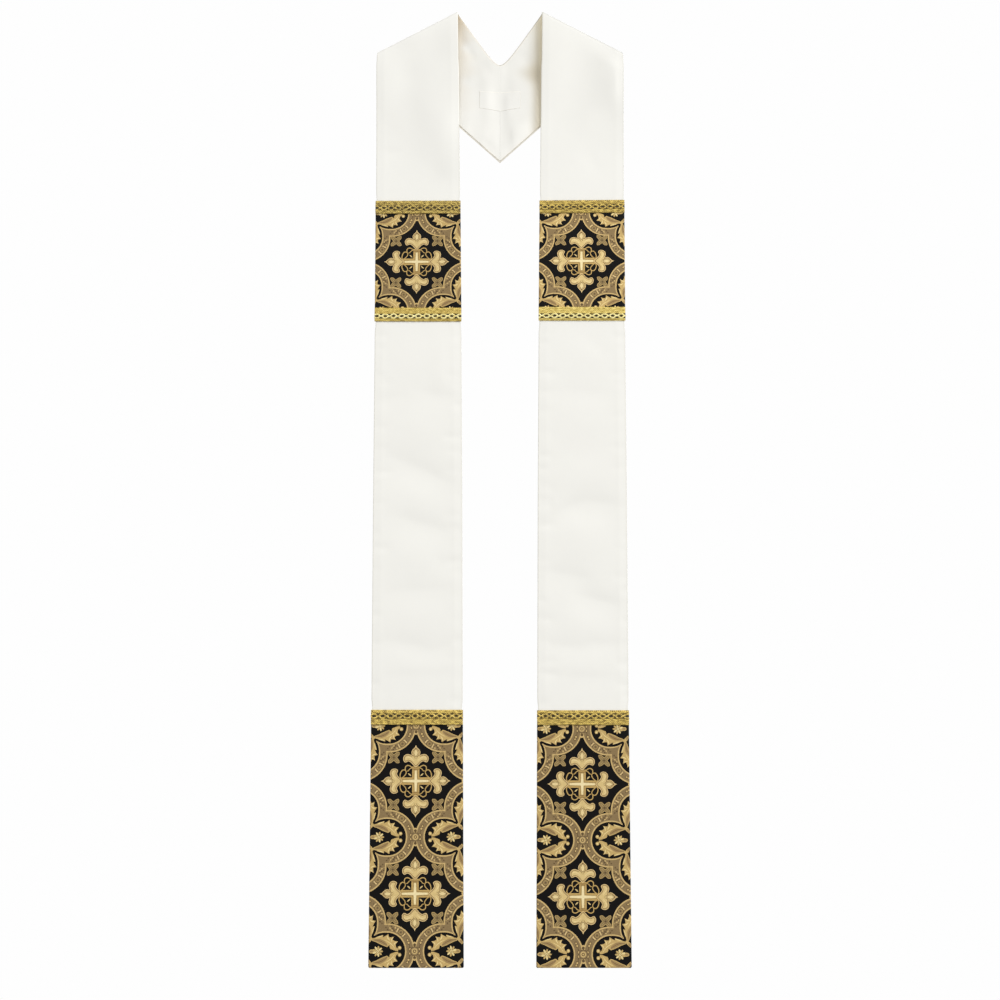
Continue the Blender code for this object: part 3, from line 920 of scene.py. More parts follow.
@dataclass(frozen=True)
class PlainCloth:
    """A plain-woven cloth with a soft sheen, a bump that follows its own threads, and the mesh's painted
    light and shade.
    """

    name: str
    colour: Colour
    thread_mm: float = 0.75
    weave_wander: float = 0.4
    cloud_scale: float = 55.0
    slub_scale: float = 900.0
    slub_stretch: float = 0.07
    slub_share: float = 0.4
    slub: float = 0.012
    weave_bump: float = 0.05
    cloud_bump: float = 1.5
    bump_depth: float = 0.4 * MM
    roughness: float = 0.62
    sheen: float = 0.12
    sheen_roughness: float = 0.4
    specular: float = 0.25

    def material(self) -> Material:
        """Makes the cloth's material.

        Returns:
            The material.
        """
        material, tree, shader = new_material(self.name)
        uv = tree.add("ShaderNodeUVMap", {"uv_map": "cloth"})
        flat = {"noise_dimensions": "2D"}
        soft = tree.add("ShaderNodeTexNoise", flat, Vector=uv, Scale=self.cloud_scale, Detail=3.0)
        stretched = tree.add("ShaderNodeMapping", Vector=uv, Scale=(1.0, self.slub_stretch, 1.0))
        slub = tree.add("ShaderNodeTexNoise", flat, Vector=stretched, Scale=self.slub_scale, Detail=1.0)
        cloudy = tree.blend(soft, 1.0 - self.slub_share, slub, self.slub_share)
        dark = tuple(part * (1.0 - 2.0 * self.slub) for part in self.colour)
        shades = {"i6": (*dark, 1.0), "i7": (*self.colour, 1.0)}
        mix = tree.add("ShaderNodeMix", {"data_type": "RGBA"}, 2, i0=cloudy, **shades)
        # The mesh's painted light and shade, multiplied into the cloth's colour
        painted_shading = tree.add("ShaderNodeAttribute", {"attribute_name": "painted_shading"})
        settings = {"data_type": "RGBA", "blend_type": "MULTIPLY"}
        shaded_colour = tree.add("ShaderNodeMix", settings, 2, i0=1.0, i6=mix, i7=painted_shading)
        wander = {"Vector": uv, "Distortion": self.weave_wander}
        warp, weft = (tree.waves(self.thread_mm, way, **wander) for way in "XY")
        height = tree.blend(tree.math("MULTIPLY", warp, weft), 0.5, soft, self.cloud_bump)
        bump = tree.add("ShaderNodeBump", Height=height, Strength=self.weave_bump, Distance=self.bump_depth)
        tree.fill(
            shader, Base_Color=shaded_colour, Normal=bump, Roughness=self.roughness, Sheen_Weight=self.sheen,
            Sheen_Roughness=self.sheen_roughness, Specular_IOR_Level=self.specular,
        )
        return material


@dataclass(frozen=True)
class WovenBrocade:
    """Figured cloth whose thread colours are an attribute of its faces, crossed by fine ribs of weft."""

    name: str = "black_and_gold_brocade"
    rib_mm: float = 0.62
    rib_wander: float = 1.2
    rib_share: float = 0.35
    rib_bump: float = 0.6
    fleck_scale: float = 760.0
    fleck_stretch: float = 0.45
    fleck_bump: float = 0.8
    contrast: float = 0.24
    bump: float = 0.35
    bump_depth: float = 0.25 * MM
    roughness: float = 0.5
    sheen: float = 0.03
    specular: float = 0.1

    def material(self) -> Material:
        """Makes the brocade's material.

        Returns:
            The material.
        """
        material, tree, shader = new_material(self.name)
        uv = tree.add("ShaderNodeUVMap", {"uv_map": "cloth"})
        thread = tree.add("ShaderNodeAttribute", {"attribute_name": "thread"})
        wander = {"Distortion": self.rib_wander, "Detail": 1.0, "Detail_Scale": 2.0}
        ribs = tree.waves(self.rib_mm, "Y", Vector=uv, **wander)
        stretched = tree.add("ShaderNodeMapping", Vector=uv, Scale=(self.fleck_stretch, 1.0, 1.0))
        flat = {"noise_dimensions": "2D"}
        fleck = tree.add("ShaderNodeTexNoise", flat, Vector=stretched, Scale=self.fleck_scale, Detail=2.0)
        mottle = tree.blend(ribs, self.rib_share, fleck, 1.0 - self.rib_share)
        value = tree.math("ADD", tree.math("MULTIPLY", mottle, 2.0 * self.contrast), 1.0 - self.contrast)
        colour = tree.add("ShaderNodeHueSaturation", Color=thread, Value=value)
        height = tree.blend(ribs, self.rib_bump, fleck, self.fleck_bump)
        bump = tree.add("ShaderNodeBump", Height=height, Strength=self.bump, Distance=self.bump_depth)
        tree.fill(
            shader, Base_Color=colour, Normal=bump, Roughness=self.roughness,
            Sheen_Weight=self.sheen, Specular_IOR_Level=self.specular,
        )
        return material


@dataclass(frozen=True)
class GoldThread:
    """Metallic thread, twisted slantwise, mottled between two screen colours, a lighter and a darker gold."""

    name: str
    light: str
    dark: str
    contrast: float = 2.8
    twist_mm: float = 1.3
    twist_wander: float = 3.0
    twist_share: float = 0.2
    fleck_scale: float = 560.0
    fleck_stretch: float = 0.36
    roughness: float = 0.42
    metallic: float = 0.2
    bump: float = 0.5
    bump_depth: float = 0.4 * MM

    def material(self) -> Material:
        """Makes the thread's material.

        Returns:
            The material.
        """
        material, tree, shader = new_material(self.name)
        place = tree.add("ShaderNodeTexCoord", output="Object")
        wander = {"Distortion": self.twist_wander, "Detail": 1.0, "Detail_Scale": 1.5}
        twist = tree.waves(self.twist_mm, "DIAGONAL", Vector=place, **wander)
        stretched = tree.add("ShaderNodeMapping", Vector=place, Scale=(self.fleck_stretch, 1.0, 1.0))
        fleck = tree.add("ShaderNodeTexNoise", Vector=stretched, Scale=self.fleck_scale, Detail=2.0)
        mottle = tree.blend(twist, self.twist_share, fleck, 1.0 - self.twist_share)
        above = tree.math("SUBTRACT", mottle, 0.5 - 0.5 / self.contrast)
        shades = {"i6": (*screen_colour(self.dark), 1.0), "i7": (*screen_colour(self.light), 1.0)}
        share = tree.math("MULTIPLY", above, self.contrast)
        mix = tree.add("ShaderNodeMix", {"data_type": "RGBA"}, 2, i0=share, **shades)
        bump = tree.add("ShaderNodeBump", Height=mottle, Strength=self.bump, Distance=self.bump_depth)
        tree.fill(shader, Base_Color=mix, Normal=bump, Roughness=self.roughness, Metallic=self.metallic)
        return material


# ---- Plain cloth: the outer cloth, the lining and the label ----


def grid_quads(index: Array) -> Array:
    """The four corners of each panel of a grid of point numbers."""
    corners = (index[:-1, :-1], index[:-1, 1:], index[1:, 1:], index[1:, :-1])
    return np.stack(corners, axis=-1).reshape(-1, 4)


@dataclass
class ClothHalf:
    """One half of the outer cloth or of the lining, as one strip from the hem to the centre-back seam."""

    cut: StoleCut
    relief: ClothRelief
    half: Half
    is_lining: bool
    painted_shading: PaintedClothShading = field(default_factory=PaintedClothShading)
    spacing: float = 3.4 * MM
    middle_columns: int = 44
    edge_steps_mm: tuple[float, ...] = (0.0, 0.1, 0.35, 0.75, 1.15, 1.4, 1.6, 3.0, 6.0, 9.4, 10.8, 12.0, 13.4)
    turned_width: float = 1.5 * MM
    front_fade: float = 32.0 * MM
    neck_fade: float = 14.0 * MM
    allowance_edge: float = 10.5 * MM
    allowance_fall: float = 7.0 * MM
    allowance_rise: float = 0.14 * MM
    lining_inset: float = 1.6 * MM

    def pattern_grid(self) -> tuple[Array, Array]:
        """Lays rows and columns over the strip.

        Returns:
            The pattern point of each row and column, and its distance from the nearest edge.
        """
        steps = np.array(self.edge_steps_mm) * MM
        hem = steps + (self.cut.heights.brocade_wall + self.cut.heights.gap)
        inset = self.lining_inset if self.is_lining else 0.0
        inner, outer = self.cut.rows(hem + inset, self.spacing)
        across = unit(outer - inner)
        slants = []
        for edge in (inner, outer):
            run = unit(np.gradient(edge, axis=0))
            slants.append(1.0 / np.abs(run[:, 0] * across[:, 1] - run[:, 1] * across[:, 0]))
        even = np.linspace(0.0, 1.0, self.middle_columns)[1:-1]
        columns = [(0.0, step) for step in steps] + [(part, steps[-1]) for part in even]
        columns += [(1.0, step) for step in steps[::-1]]
        grid, distance = [], []
        for part, step in columns:
            start = inner + across * ((inset + step) * slants[0])[:, None]
            end = outer - across * ((inset + step) * slants[1])[:, None]
            grid.append(start + (end - start) * part)
            length = np.hypot(*(end - start).T)
            distance.append(step + np.minimum(part, 1.0 - part) * length)
        return np.stack(grid, axis=1), np.stack(distance, axis=1)

    def lift(self, pattern: Array) -> Array:
        """Works out how far the cloth lies above its plain place.

        Args:
            pattern: the pattern coordinates of points.

        Returns:
            The distance at each.
        """
        arc = pattern[..., 1]
        plan = self.cut.plan(pattern)
        x, y = plan[..., 0] * self.half.value, plan[..., 1]
        on_front = 1.0 - ease((self.cut.fold_arc / 2.0 - arc) / self.front_fade)
        on_neck = 1.0 - ease((arc - self.cut.fold_arc) / self.neck_fade)
        front = self.relief.every_layer(self.half, x, y)
        if self.is_lining:
            return front * on_front + self.relief.neck(x, y) * on_neck
        return (front + self.relief.outer_cloth(self.half, x, y)) * on_front

    def rims(self, outer_nearer: Array, arc: Array, y: Array) -> Array:
        """Finds the rim that points lie by.

        Args:
            outer_nearer: whether it is the strip's outer one.
            arc: the points' arc.
            y: their Y.

        Returns:
            The number of the Rim.
        """
        left, right = Rim.FACES_LEFT.value, Rim.FACES_RIGHT.value
        rim = np.where(outer_nearer == (self.half is Half.RIGHT), right, left)
        over_neck = ~outer_nearer & (y > self.cut.neck_edge(self.cut.neck_point[0]))
        beside_neck = np.where(rim == right, Rim.RIGHT_ON_NECK.value, Rim.LEFT_ON_NECK.value)
        on_neck = np.where(outer_nearer, Rim.NECK_EDGE.value, Rim.NECKLINE.value)
        return np.where(arc > self.cut.fold_arc / 2.0, on_neck, np.where(over_neck, beside_neck, rim))

    def surface(self) -> Surface:
        """Makes the closed shell.

        Returns:
            A face and an underside that meet along the rounded edges.
        """
        heights = self.cut.heights
        pattern, side = self.pattern_grid()
        rows, columns = side.shape
        steps = np.array(self.edge_steps_mm) * MM
        end = np.full(rows, 1.0)
        end[: len(steps)] = steps
        high, low = heights.outer_face, heights.turned_edge
        if self.is_lining:
            high, low = heights.lining_inside, heights.lining_face
        radius = (high - low) / 2.0
        round_edge = radius * (bulge(side, radius) * bulge(end, radius)[:, None])
        top = (high + low) / 2.0 + round_edge
        bottom = (high + low) / 2.0 - round_edge
        nearest = np.minimum(side, end[:, None])
        if not self.is_lining:
            bottom = np.where(nearest > self.turned_width, heights.outer_inside, bottom)
            ramp = np.clip(side / self.allowance_edge, 0.0, 1.0)
            raised = ramp * ease((side - self.allowance_edge) / self.allowance_fall)
            top = top + self.allowance_rise * raised * bulge(end, self.turned_width)[:, None]
        lift = self.lift(pattern)
        faces_up = self.cut.on_table(pattern, top, self.half, lift)
        faces_down = self.cut.on_table(pattern, bottom, self.half, lift)
        flat = self.cut.unfolded(pattern) * (self.half.value, 1.0)
        upper = np.arange(rows * columns).reshape(rows, columns)
        rim = np.ones((rows, columns), bool)
        rim[1:-1, 1:-1] = False
        faces_down[rim] = faces_up[rim]
        panels = grid_quads(upper)[:, :: self.half.value]
        index = np.concatenate((panels, panels[:, ::-1] + rows * columns))
        points = np.concatenate((faces_up.reshape(-1, 3), faces_down.reshape(-1, 3)))
        merged = np.arange(len(points))
        merged[upper[rim] + rows * columns] = upper[rim]
        index = merged[index]
        used, index = np.unique(index, return_inverse=True)
        points = points[used]
        outer_nearer = np.broadcast_to(np.arange(columns) * 2 > columns, (rows, columns))
        near, outer_nearer, arc = (
            np.tile(values.ravel(), 2)[used] for values in (nearest, outer_nearer, pattern[..., 1])
        )
        # Painted light and shade for the lining or for the outer cloth
        if self.is_lining:
            painted_shading = self.painted_shading.lining(near, points[:, :2])
        else:
            painted_shading = self.painted_shading.outer(near, self.rims(outer_nearer, arc, points[:, 1]), arc, points[:, :2])
        uv = np.tile(flat.reshape(-1, 2), (2, 1))[used]
        return Surface(points, index.reshape(-1, 4).tolist(), uv=uv, painted_shading=painted_shading)

    def flat_cut(self) -> tuple[float, float, float]:
        """Measures the cut as it lies flat before folding.

        Returns:
            Its width, length and area.
        """
        inner, outer = self.cut.rows(np.array([0.0]), self.spacing)
        inner, outer = self.cut.unfolded(inner), self.cut.unfolded(outer)
        outline = np.concatenate((inner, outer[::-1]))
        width, length = np.ptp(outline, axis=0)
        return float(width), float(length), abs(doubled_area(outline)) / 2.0

    def build(self, finish: PlainCloth) -> Object:
        """Makes the piece, hides the parts of model.glb that it stands for, and measures its flat cut.

        Args:
            finish: its cloth.

        Returns:
            The piece.
        """
        side = self.half.name.lower()
        name, node, slot = ("lining",) * 3 if self.is_lining else ("cloth", "outer", "outer_cloth")
        obj = self.surface().piece(f"{name}_{side}", [finish.material()], slot)
        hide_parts(f"{node}_front_{side}", f"{node}_neck_{side}")
        width, length, area = self.flat_cut()
        return obj


# ---- Brocade: crosses in black stars between banded quatrefoils ----


class Thread(Enum):
    """The thread colours of the brocade."""

    GROUND = screen_colour("090706")
    TAUPE = screen_colour("826d4b")
    TAUPE_DARK = screen_colour("5c4a31")
    TAUPE_LIGHT = screen_colour("a08757")
    LINE = screen_colour("bfa36c")
    GOLD = screen_colour("b5965b")
    EDGE = screen_colour("ccb17c")
    GOLD_DARK = screen_colour("6f5431")
    GOLD_LIGHT = screen_colour("cab178")
    PALE = screen_colour("d8c28c")
    CREAM = screen_colour("e0cfa0")
    LEAF = screen_colour("b99d64")
    LEAF_SHADE = screen_colour("937a52")
    LEAF_LIGHT = screen_colour("dac48a")
    FLOWER = screen_colour("7c6946")
    FLOWER_LINE = screen_colour("a68c5a")


Figure = tuple[Array, Thread]


def arc_points(centre: Pair, radius: float, start: float, end: float, steps: int) -> Array:
    """Points of a circular arc; the angles are in degrees."""
    turn = np.radians(np.linspace(start, end, steps + 1))
    return np.column_stack((centre[0] + radius * np.cos(turn), centre[1] + radius * np.sin(turn)))


def disc(centre: Pair, radius: float, steps: int = 20, stretch: float = 1.0, turn: float = 0.0) -> Array:
    """An ellipse as a polygon: stretch is its length over its width, and turn its angle in degrees."""
    points = arc_points((0.0, 0.0), radius, 0.0, 360.0, steps)[:-1] * (stretch, 1.0)
    return turned(points, turn) + np.array(centre)


def turned(points: Array, degrees: float) -> Array:
    """The points turned about the origin."""
    cosine, sine = math.cos(math.radians(degrees)), math.sin(math.radians(degrees))
    return points @ np.array(((cosine, sine), (-sine, cosine)))


def four_fold(points: Array) -> Array:
    """The points four times over, each time a quarter turn further on."""
    return np.concatenate([turned(points, 90.0 * turn) for turn in range(4)])


def smooth_line(points: list[Pair] | Array, steps: int = 4, closed: bool = False) -> Array:
    """A smooth curve through points (Catmull-Rom).

    Args:
        points: the points.
        steps: how many parts each stretch between two points has.
        closed: whether it comes back to its first point.

    Returns:
        The points of the curve.
    """
    knots = np.array(points, float)
    if closed:
        knots = np.concatenate((knots[-1:], knots, knots[:2]))
    else:
        knots = np.concatenate((2 * knots[:1] - knots[1:2], knots, 2 * knots[-1:] - knots[-2:-1]))
    part = np.linspace(0.0, 1.0, steps, endpoint=False)[:, None]
    pieces = []
    for first, second, third, fourth in zip(knots, knots[1:], knots[2:], knots[3:]):
        squared = (2 * first - 5 * second + 4 * third - fourth) * part**2
        cubed = (3 * second - first - 3 * third + fourth) * part**3
        pieces.append(0.5 * (2 * second + (third - first) * part + squared + cubed))
    curve = np.concatenate(pieces)
    return curve if closed else np.concatenate((curve, knots[-2:-1]))


def stroke(line: Array, width: float, start: float = 1.0, end: float = 1.0) -> Array:
    """A line with a width, as a polygon.

    Args:
        line: the points of the line.
        width: its width in the middle.
        start: its width at the start, as a share of that.
        end: its width at the end, as a share of that.

    Returns:
        The outline.
    """
    run = unit(np.gradient(line, axis=0))
    across = np.column_stack((-run[:, 1], run[:, 0]))
    part = np.linspace(0.0, 1.0, len(line))
    to_middle, to_end = start + (1.0 - start) * part * 2.0, end + (1.0 - end) * (1.0 - part) * 2.0
    half = (width / 2.0 * np.where(part < 0.5, to_middle, to_end))[:, None]
    return np.concatenate((line + across * half, (line - across * half)[::-1]))


def anticlockwise(points: Array) -> Array:
    """The corners of a polygon, in the order that has its inside on the left."""
    return points if doubled_area(points) > 0.0 else points[::-1]


def resampled(points: Array, spacing: float) -> Array:
    """Parts the long sides of a closed polygon.

    Args:
        points: its corners.
        spacing: the greatest length of a side.

    Returns:
        The polygon.
    """
    parts = []
    for first, second in zip(points, np.roll(points, -1, axis=0)):
        count = max(1, math.ceil(float(np.hypot(*(second - first))) / spacing))
        parts.append(first + (second - first) * np.arange(count)[:, None] / count)
    return np.concatenate(parts)


def inset(points: Array, distance: float) -> Array:
    """Moves a polygon in from its outline.

    Args:
        points: its corners.
        distance: how far to move it.

    Returns:
        The smaller polygon.
    """
    outline = resampled(anticlockwise(points), distance * INSET_SIDE)
    run = unit(np.roll(outline, -1, axis=0) - np.roll(outline, 1, axis=0))
    moved = outline + np.column_stack((-run[:, 1], run[:, 0])) * distance
    apart = np.hypot(*(moved[:, None, :] - outline[None, :, :]).transpose(2, 0, 1)).min(axis=1)
    return moved[apart > distance * INSET_KEPT]


def mirrored(points: Array) -> Array:
    """The points mirrored in the Y axis."""
    return points * (-1.0, 1.0)


def symmetric(half: Array) -> Array:
    """A polygon from its half right of the Y axis, whose ends lie on that axis."""
    return np.concatenate((half, mirrored(half)[::-1][1:-1]))


def rings(centre: Pair, *rows: tuple[float, int, Thread]) -> list[Figure]:
    """Discs round one centre, the largest first, each by its radius, steps and thread."""
    return [(disc(centre, radius, steps), thread) for radius, steps, thread in rows]


@dataclass(frozen=True)
class BrocadeFigure:
    """The repeat of the brocade, in millimetres from the centre of a cross."""

    pitch: float = 143.0
    arm_squeeze: float = 0.97
    lobe_centre: float = 37.1
    lobe_radius: float = 34.6
    eye_centre: float = 36.2
    eye_radius: float = 23.2
    eye_end: float = 84.0
    barb_tip: float = 19.4
    barb_growth: float = 0.75
    marks_centre: Pair = (36.7, 0.0)
    marks_outset: float = 0.2
    line_width: float = 1.75
    lobe_steps: int = 72
    eye_steps: int = 44
    petals: int = 9
    petal_ring: float = 4.3
    daisy_centre: Pair = (24.4, 0.0)
    flower_place: Pair = (28.8, 30.4)

    def fleur(self) -> list[Figure]:
        """The end of an upright arm: a fleur-de-lis on a collar.

        Returns:
            The figures, from the lowest layer up.
        """
        right = [
            (0.0, 17.4), (3.4, 20.4), (6.6, 23.9), (9.8, 25.4), (12.6, 24.2), (14.9, 24.4), (16.5, 27.4),
            (16.2, 31.0), (13.8, 33.9), (10.2, 34.8), (7.2, 34.0), (5.3, 33.8), (5.9, 36.6), (5.1, 39.4),
            (3.0, 42.0), (1.3, 43.6), (0.0, 46.7),
        ]
        half = smooth_line(right)
        half[0, 0] = half[-1, 0] = 0.0
        outline = symmetric(half)
        petal = symmetric(smooth_line([(0.0, 30.6), (2.1, 33.4), (2.9, 36.6), (2.0, 39.2), (0.0, 42.2)]))
        fold = stroke(smooth_line([(0.6, 28.2), (2.2, 31.6), (4.3, 33.5)]), 0.8, 0.3, 1.0)
        sheen = stroke(smooth_line([(2.6, 26.2), (6.4, 29.6), (10.6, 31.0), (13.4, 29.4)]), 1.5, 0.3, 0.4)
        return [
            (outline, Thread.EDGE),
            (inset(outline, 1.1), Thread.GOLD_DARK),
            (inset(outline, 1.85), Thread.GOLD_LIGHT),
            (petal, Thread.GOLD_DARK),
            (inset(petal, 0.6), Thread.PALE),
            (fold, Thread.GOLD_DARK),
            (mirrored(fold), Thread.GOLD_DARK),
            (sheen, Thread.PALE),
            (mirrored(sheen), Thread.PALE),
        ]

    def collar(self) -> list[Figure]:
        """The bound neck between the upright shaft and a fleur-de-lis.

        Returns:
            The figures, from the lowest layer up.
        """
        figures: list[Figure] = []
        for height, width in ((14.9, 0.7), (16.7, 0.8)):
            line = smooth_line([(-4.6, height), (0.0, height + 0.5), (4.6, height)])
            figures.append((stroke(line, width), Thread.GOLD_DARK))
        cap = smooth_line([(-5.2, 17.0), (-2.6, 17.9), (0.0, 19.2), (2.6, 17.9), (5.2, 17.0)])
        return figures + [(stroke(cap, 1.3, 0.6, 0.6), Thread.GOLD)]

    def filigree(self) -> list[Figure]:
        """The scrolls of one quadrant: a loop from each arm's neck, which meet on the diagonal.

        Returns:
            The figures, from the lowest layer up.
        """
        figures: list[Figure] = []
        for line, width in (
            ([(4.9, 17.2), (7.4, 19.4), (10.2, 20.2), (13.0, 18.9), (13.8, 16.2), (13.3, 13.0)], 1.35),
            ([(5.4, 16.8), (7.8, 15.6), (9.8, 13.2), (11.7, 12.9)], 1.15),
            ([(13.0, 13.6), (16.2, 14.4), (18.7, 12.6), (20.1, 9.4), (20.5, 6.2), (19.3, 3.0)], 1.35),
            ([(13.0, 13.2), (12.4, 10.6), (14.0, 7.6), (16.2, 5.4), (18.6, 3.2)], 1.2),
        ):
            figures.append((stroke(smooth_line(line), width, 0.9, 0.8), Thread.GOLD))
        dash = smooth_line([(6.0, 6.2), (7.7, 8.0), (9.8, 9.7)], steps=3)
        figures.append((stroke(dash, 1.8, 0.2, 0.5), Thread.GOLD_LIGHT))
        return figures

    def plus(self, half: float, end_half: float, side: float, upright: float) -> Array:
        """A cross as a polygon.

        Args:
            half: half the width of its arms in the middle.
            end_half: half their width at the ends.
            side: the reach of the side arms.
            upright: the reach of the upright arms.

        Returns:
            Its corners.
        """
        arms = []
        for turn in range(4):
            reach = side if turn % 2 else upright
            arms.append(turned(np.array([(half, half), (end_half, reach), (-end_half, reach)]), 90.0 * turn))
        return np.concatenate(arms)

    def cross(self) -> list[Figure]:
        """The whole cross, with its four fleurs-de-lis and its filigree.

        Returns:
            The figures, from the lowest layer up.
        """
        figures: list[Figure] = []
        for quarter in ((1.0, 1.0), (-1.0, 1.0), (1.0, -1.0), (-1.0, -1.0)):
            figures += [(points * quarter, thread) for points, thread in self.filigree()]
        figures.append((self.plus(4.7, 4.7, 18.8, 18.6), Thread.GOLD))
        figures.append((self.plus(2.75, 2.4, 17.4, 14.6), Thread.GOLD_DARK))
        figures.append((self.plus(2.15, 1.8, 17.0, 14.0), Thread.GOLD_LIGHT))
        figures.append((self.plus(1.6, 0.9, 16.4, 13.3), Thread.CREAM))
        for turn in range(4):
            squeeze = self.arm_squeeze if turn % 2 else 1.0
            neck = [] if turn % 2 else self.collar()
            for points, thread in neck + self.fleur():
                figures.append((turned(points * squeeze, 90.0 * turn), thread))
        return figures

    def flower(self) -> list[Figure]:
        """A small flower with its four petals on the diagonals.

        Returns:
            The figures, from the lowest layer up.
        """
        quarter = [(7.2, 3.4), (7.4, 6.4), (6.2, 7.6), (3.2, 6.7), (0.6, 4.6), (-0.6, 4.6)]
        outline = smooth_line(four_fold(np.array(quarter)), steps=2, closed=True)
        figures = [(outline, Thread.FLOWER_LINE), (inset(outline, 1.0), Thread.FLOWER)]
        for turn in range(4):
            vein = turned(np.array([(1.4, 1.4), (3.4, 3.2), (5.0, 5.0)]), 90.0 * turn)
            figures.append((stroke(vein, 0.9, 0.5, 1.0), Thread.FLOWER_LINE))
        return figures + [(disc((0.0, 0.0), 1.3, 8), Thread.TAUPE_DARK)]

    def quatrefoil_outline(self, grow: float) -> Array:
        """Draws the quatrefoil's outer edge.

        Args:
            grow: how far to move it out.

        Returns:
            The polygon.
        """
        radius = self.lobe_radius + grow
        cusp = (self.lobe_centre + math.sqrt(2.0 * radius * radius - self.lobe_centre**2)) / 2.0
        angle = math.degrees(math.atan2(cusp, cusp - self.lobe_centre))
        lobe = arc_points((self.lobe_centre, 0.0), radius, -angle, angle, self.lobe_steps)[:-1]
        return four_fold(lobe)

    def eye_outline(self, grow: float) -> Array:
        """Draws the inner edge of the quatrefoil's band, with a barb between lobes.

        Args:
            grow: how far to move it out.

        Returns:
            The polygon.
        """
        radius = self.eye_radius + grow
        arc = arc_points((self.eye_centre, 0.0), radius, -self.eye_end, self.eye_end, self.eye_steps)
        top = arc[-1]
        tip = self.barb_tip + self.barb_growth * grow
        side = [(32.0, 23.2 + grow), (26.2, 22.3 + grow * 0.9), (22.6, 20.9 + grow * 0.85)]
        barb = smooth_line([tuple(top), *side, (tip + 0.9, tip)])[1:-1]
        upper = np.concatenate((arc[len(arc) // 2 :], barb, [(tip, tip)]))
        lobe = np.concatenate(((upper * (1.0, -1.0))[::-1][:-1], upper))
        return four_fold(lobe[1:])

    def band_marks(self) -> list[Figure]:
        """The small figures along one half of the band round a lobe.

        Returns:
            The figures, from the lowest layer up.
        """
        figures: list[Figure] = []
        middle = (self.lobe_radius + self.eye_radius) / 2.0 + self.marks_outset

        def on_band(angle: float, off: float = 0.0) -> Pair:
            """A point of the band, by its angle from the lobe's axis and how far off its middle it is."""
            x, y = arc_points(self.marks_centre, middle + off, angle, angle, 1)[0]
            return float(x), float(y)

        for angle, size in ((5.0, 1.25), (21.5, 1.35), (28.0, 1.1)):
            figures.append((disc(on_band(angle), size + 0.75, 12, 1.25, angle + 90.0), Thread.TAUPE_DARK))
            figures.append((disc(on_band(angle), size, 10, 1.2, angle + 90.0), Thread.LINE))
        bar = arc_points(self.marks_centre, middle, 8.5, 17.0, 6)
        figures.append((stroke(bar, 1.0, 0.4, 0.4), Thread.TAUPE_DARK))
        medal = ((4.0, 24, Thread.TAUPE_DARK), (3.2, 20, Thread.TAUPE_LIGHT), (2.3, 16, Thread.TAUPE))
        figures += rings(on_band(54.0), *medal, (1.0, 8, Thread.TAUPE_DARK))
        for angle, bow in ((44.6, -1.0), (63.4, 1.0)):
            line = [on_band(angle, -2.7), on_band(angle + bow, 0.0), on_band(angle, 2.7)]
            figures.append((stroke(smooth_line(line), 1.6, 0.9, 0.9), Thread.EDGE))
            figures.append((disc(on_band(angle + 4.0 * bow, 0.0), 0.9, 8), Thread.TAUPE_DARK))
        for angle, off, size, stretch, turn, thread in (
            (71.0, 1.9, 0.9, 1.6, 10.0, Thread.LINE),
            (72.5, -1.9, 1.0, 1.5, 60.0, Thread.TAUPE_DARK),
            (76.5, 0.0, 1.0, 1.5, -30.0, Thread.TAUPE_DARK),
            (77.5, -2.3, 0.8, 1.8, 80.0, Thread.LINE),
            (80.5, 2.2, 0.9, 1.4, 20.0, Thread.TAUPE_DARK),
            (83.5, -0.3, 0.8, 2.0, 40.0, Thread.LINE),
            (87.0, 2.4, 0.8, 1.3, 0.0, Thread.TAUPE_LIGHT),
            (89.5, -2.2, 0.9, 1.6, 30.0, Thread.TAUPE_DARK),
            (94.0, 0.6, 0.8, 1.5, 70.0, Thread.TAUPE_DARK),
        ):
            figures.append((disc(on_band(angle, off), size, 8, stretch, angle + turn), thread))
        return figures

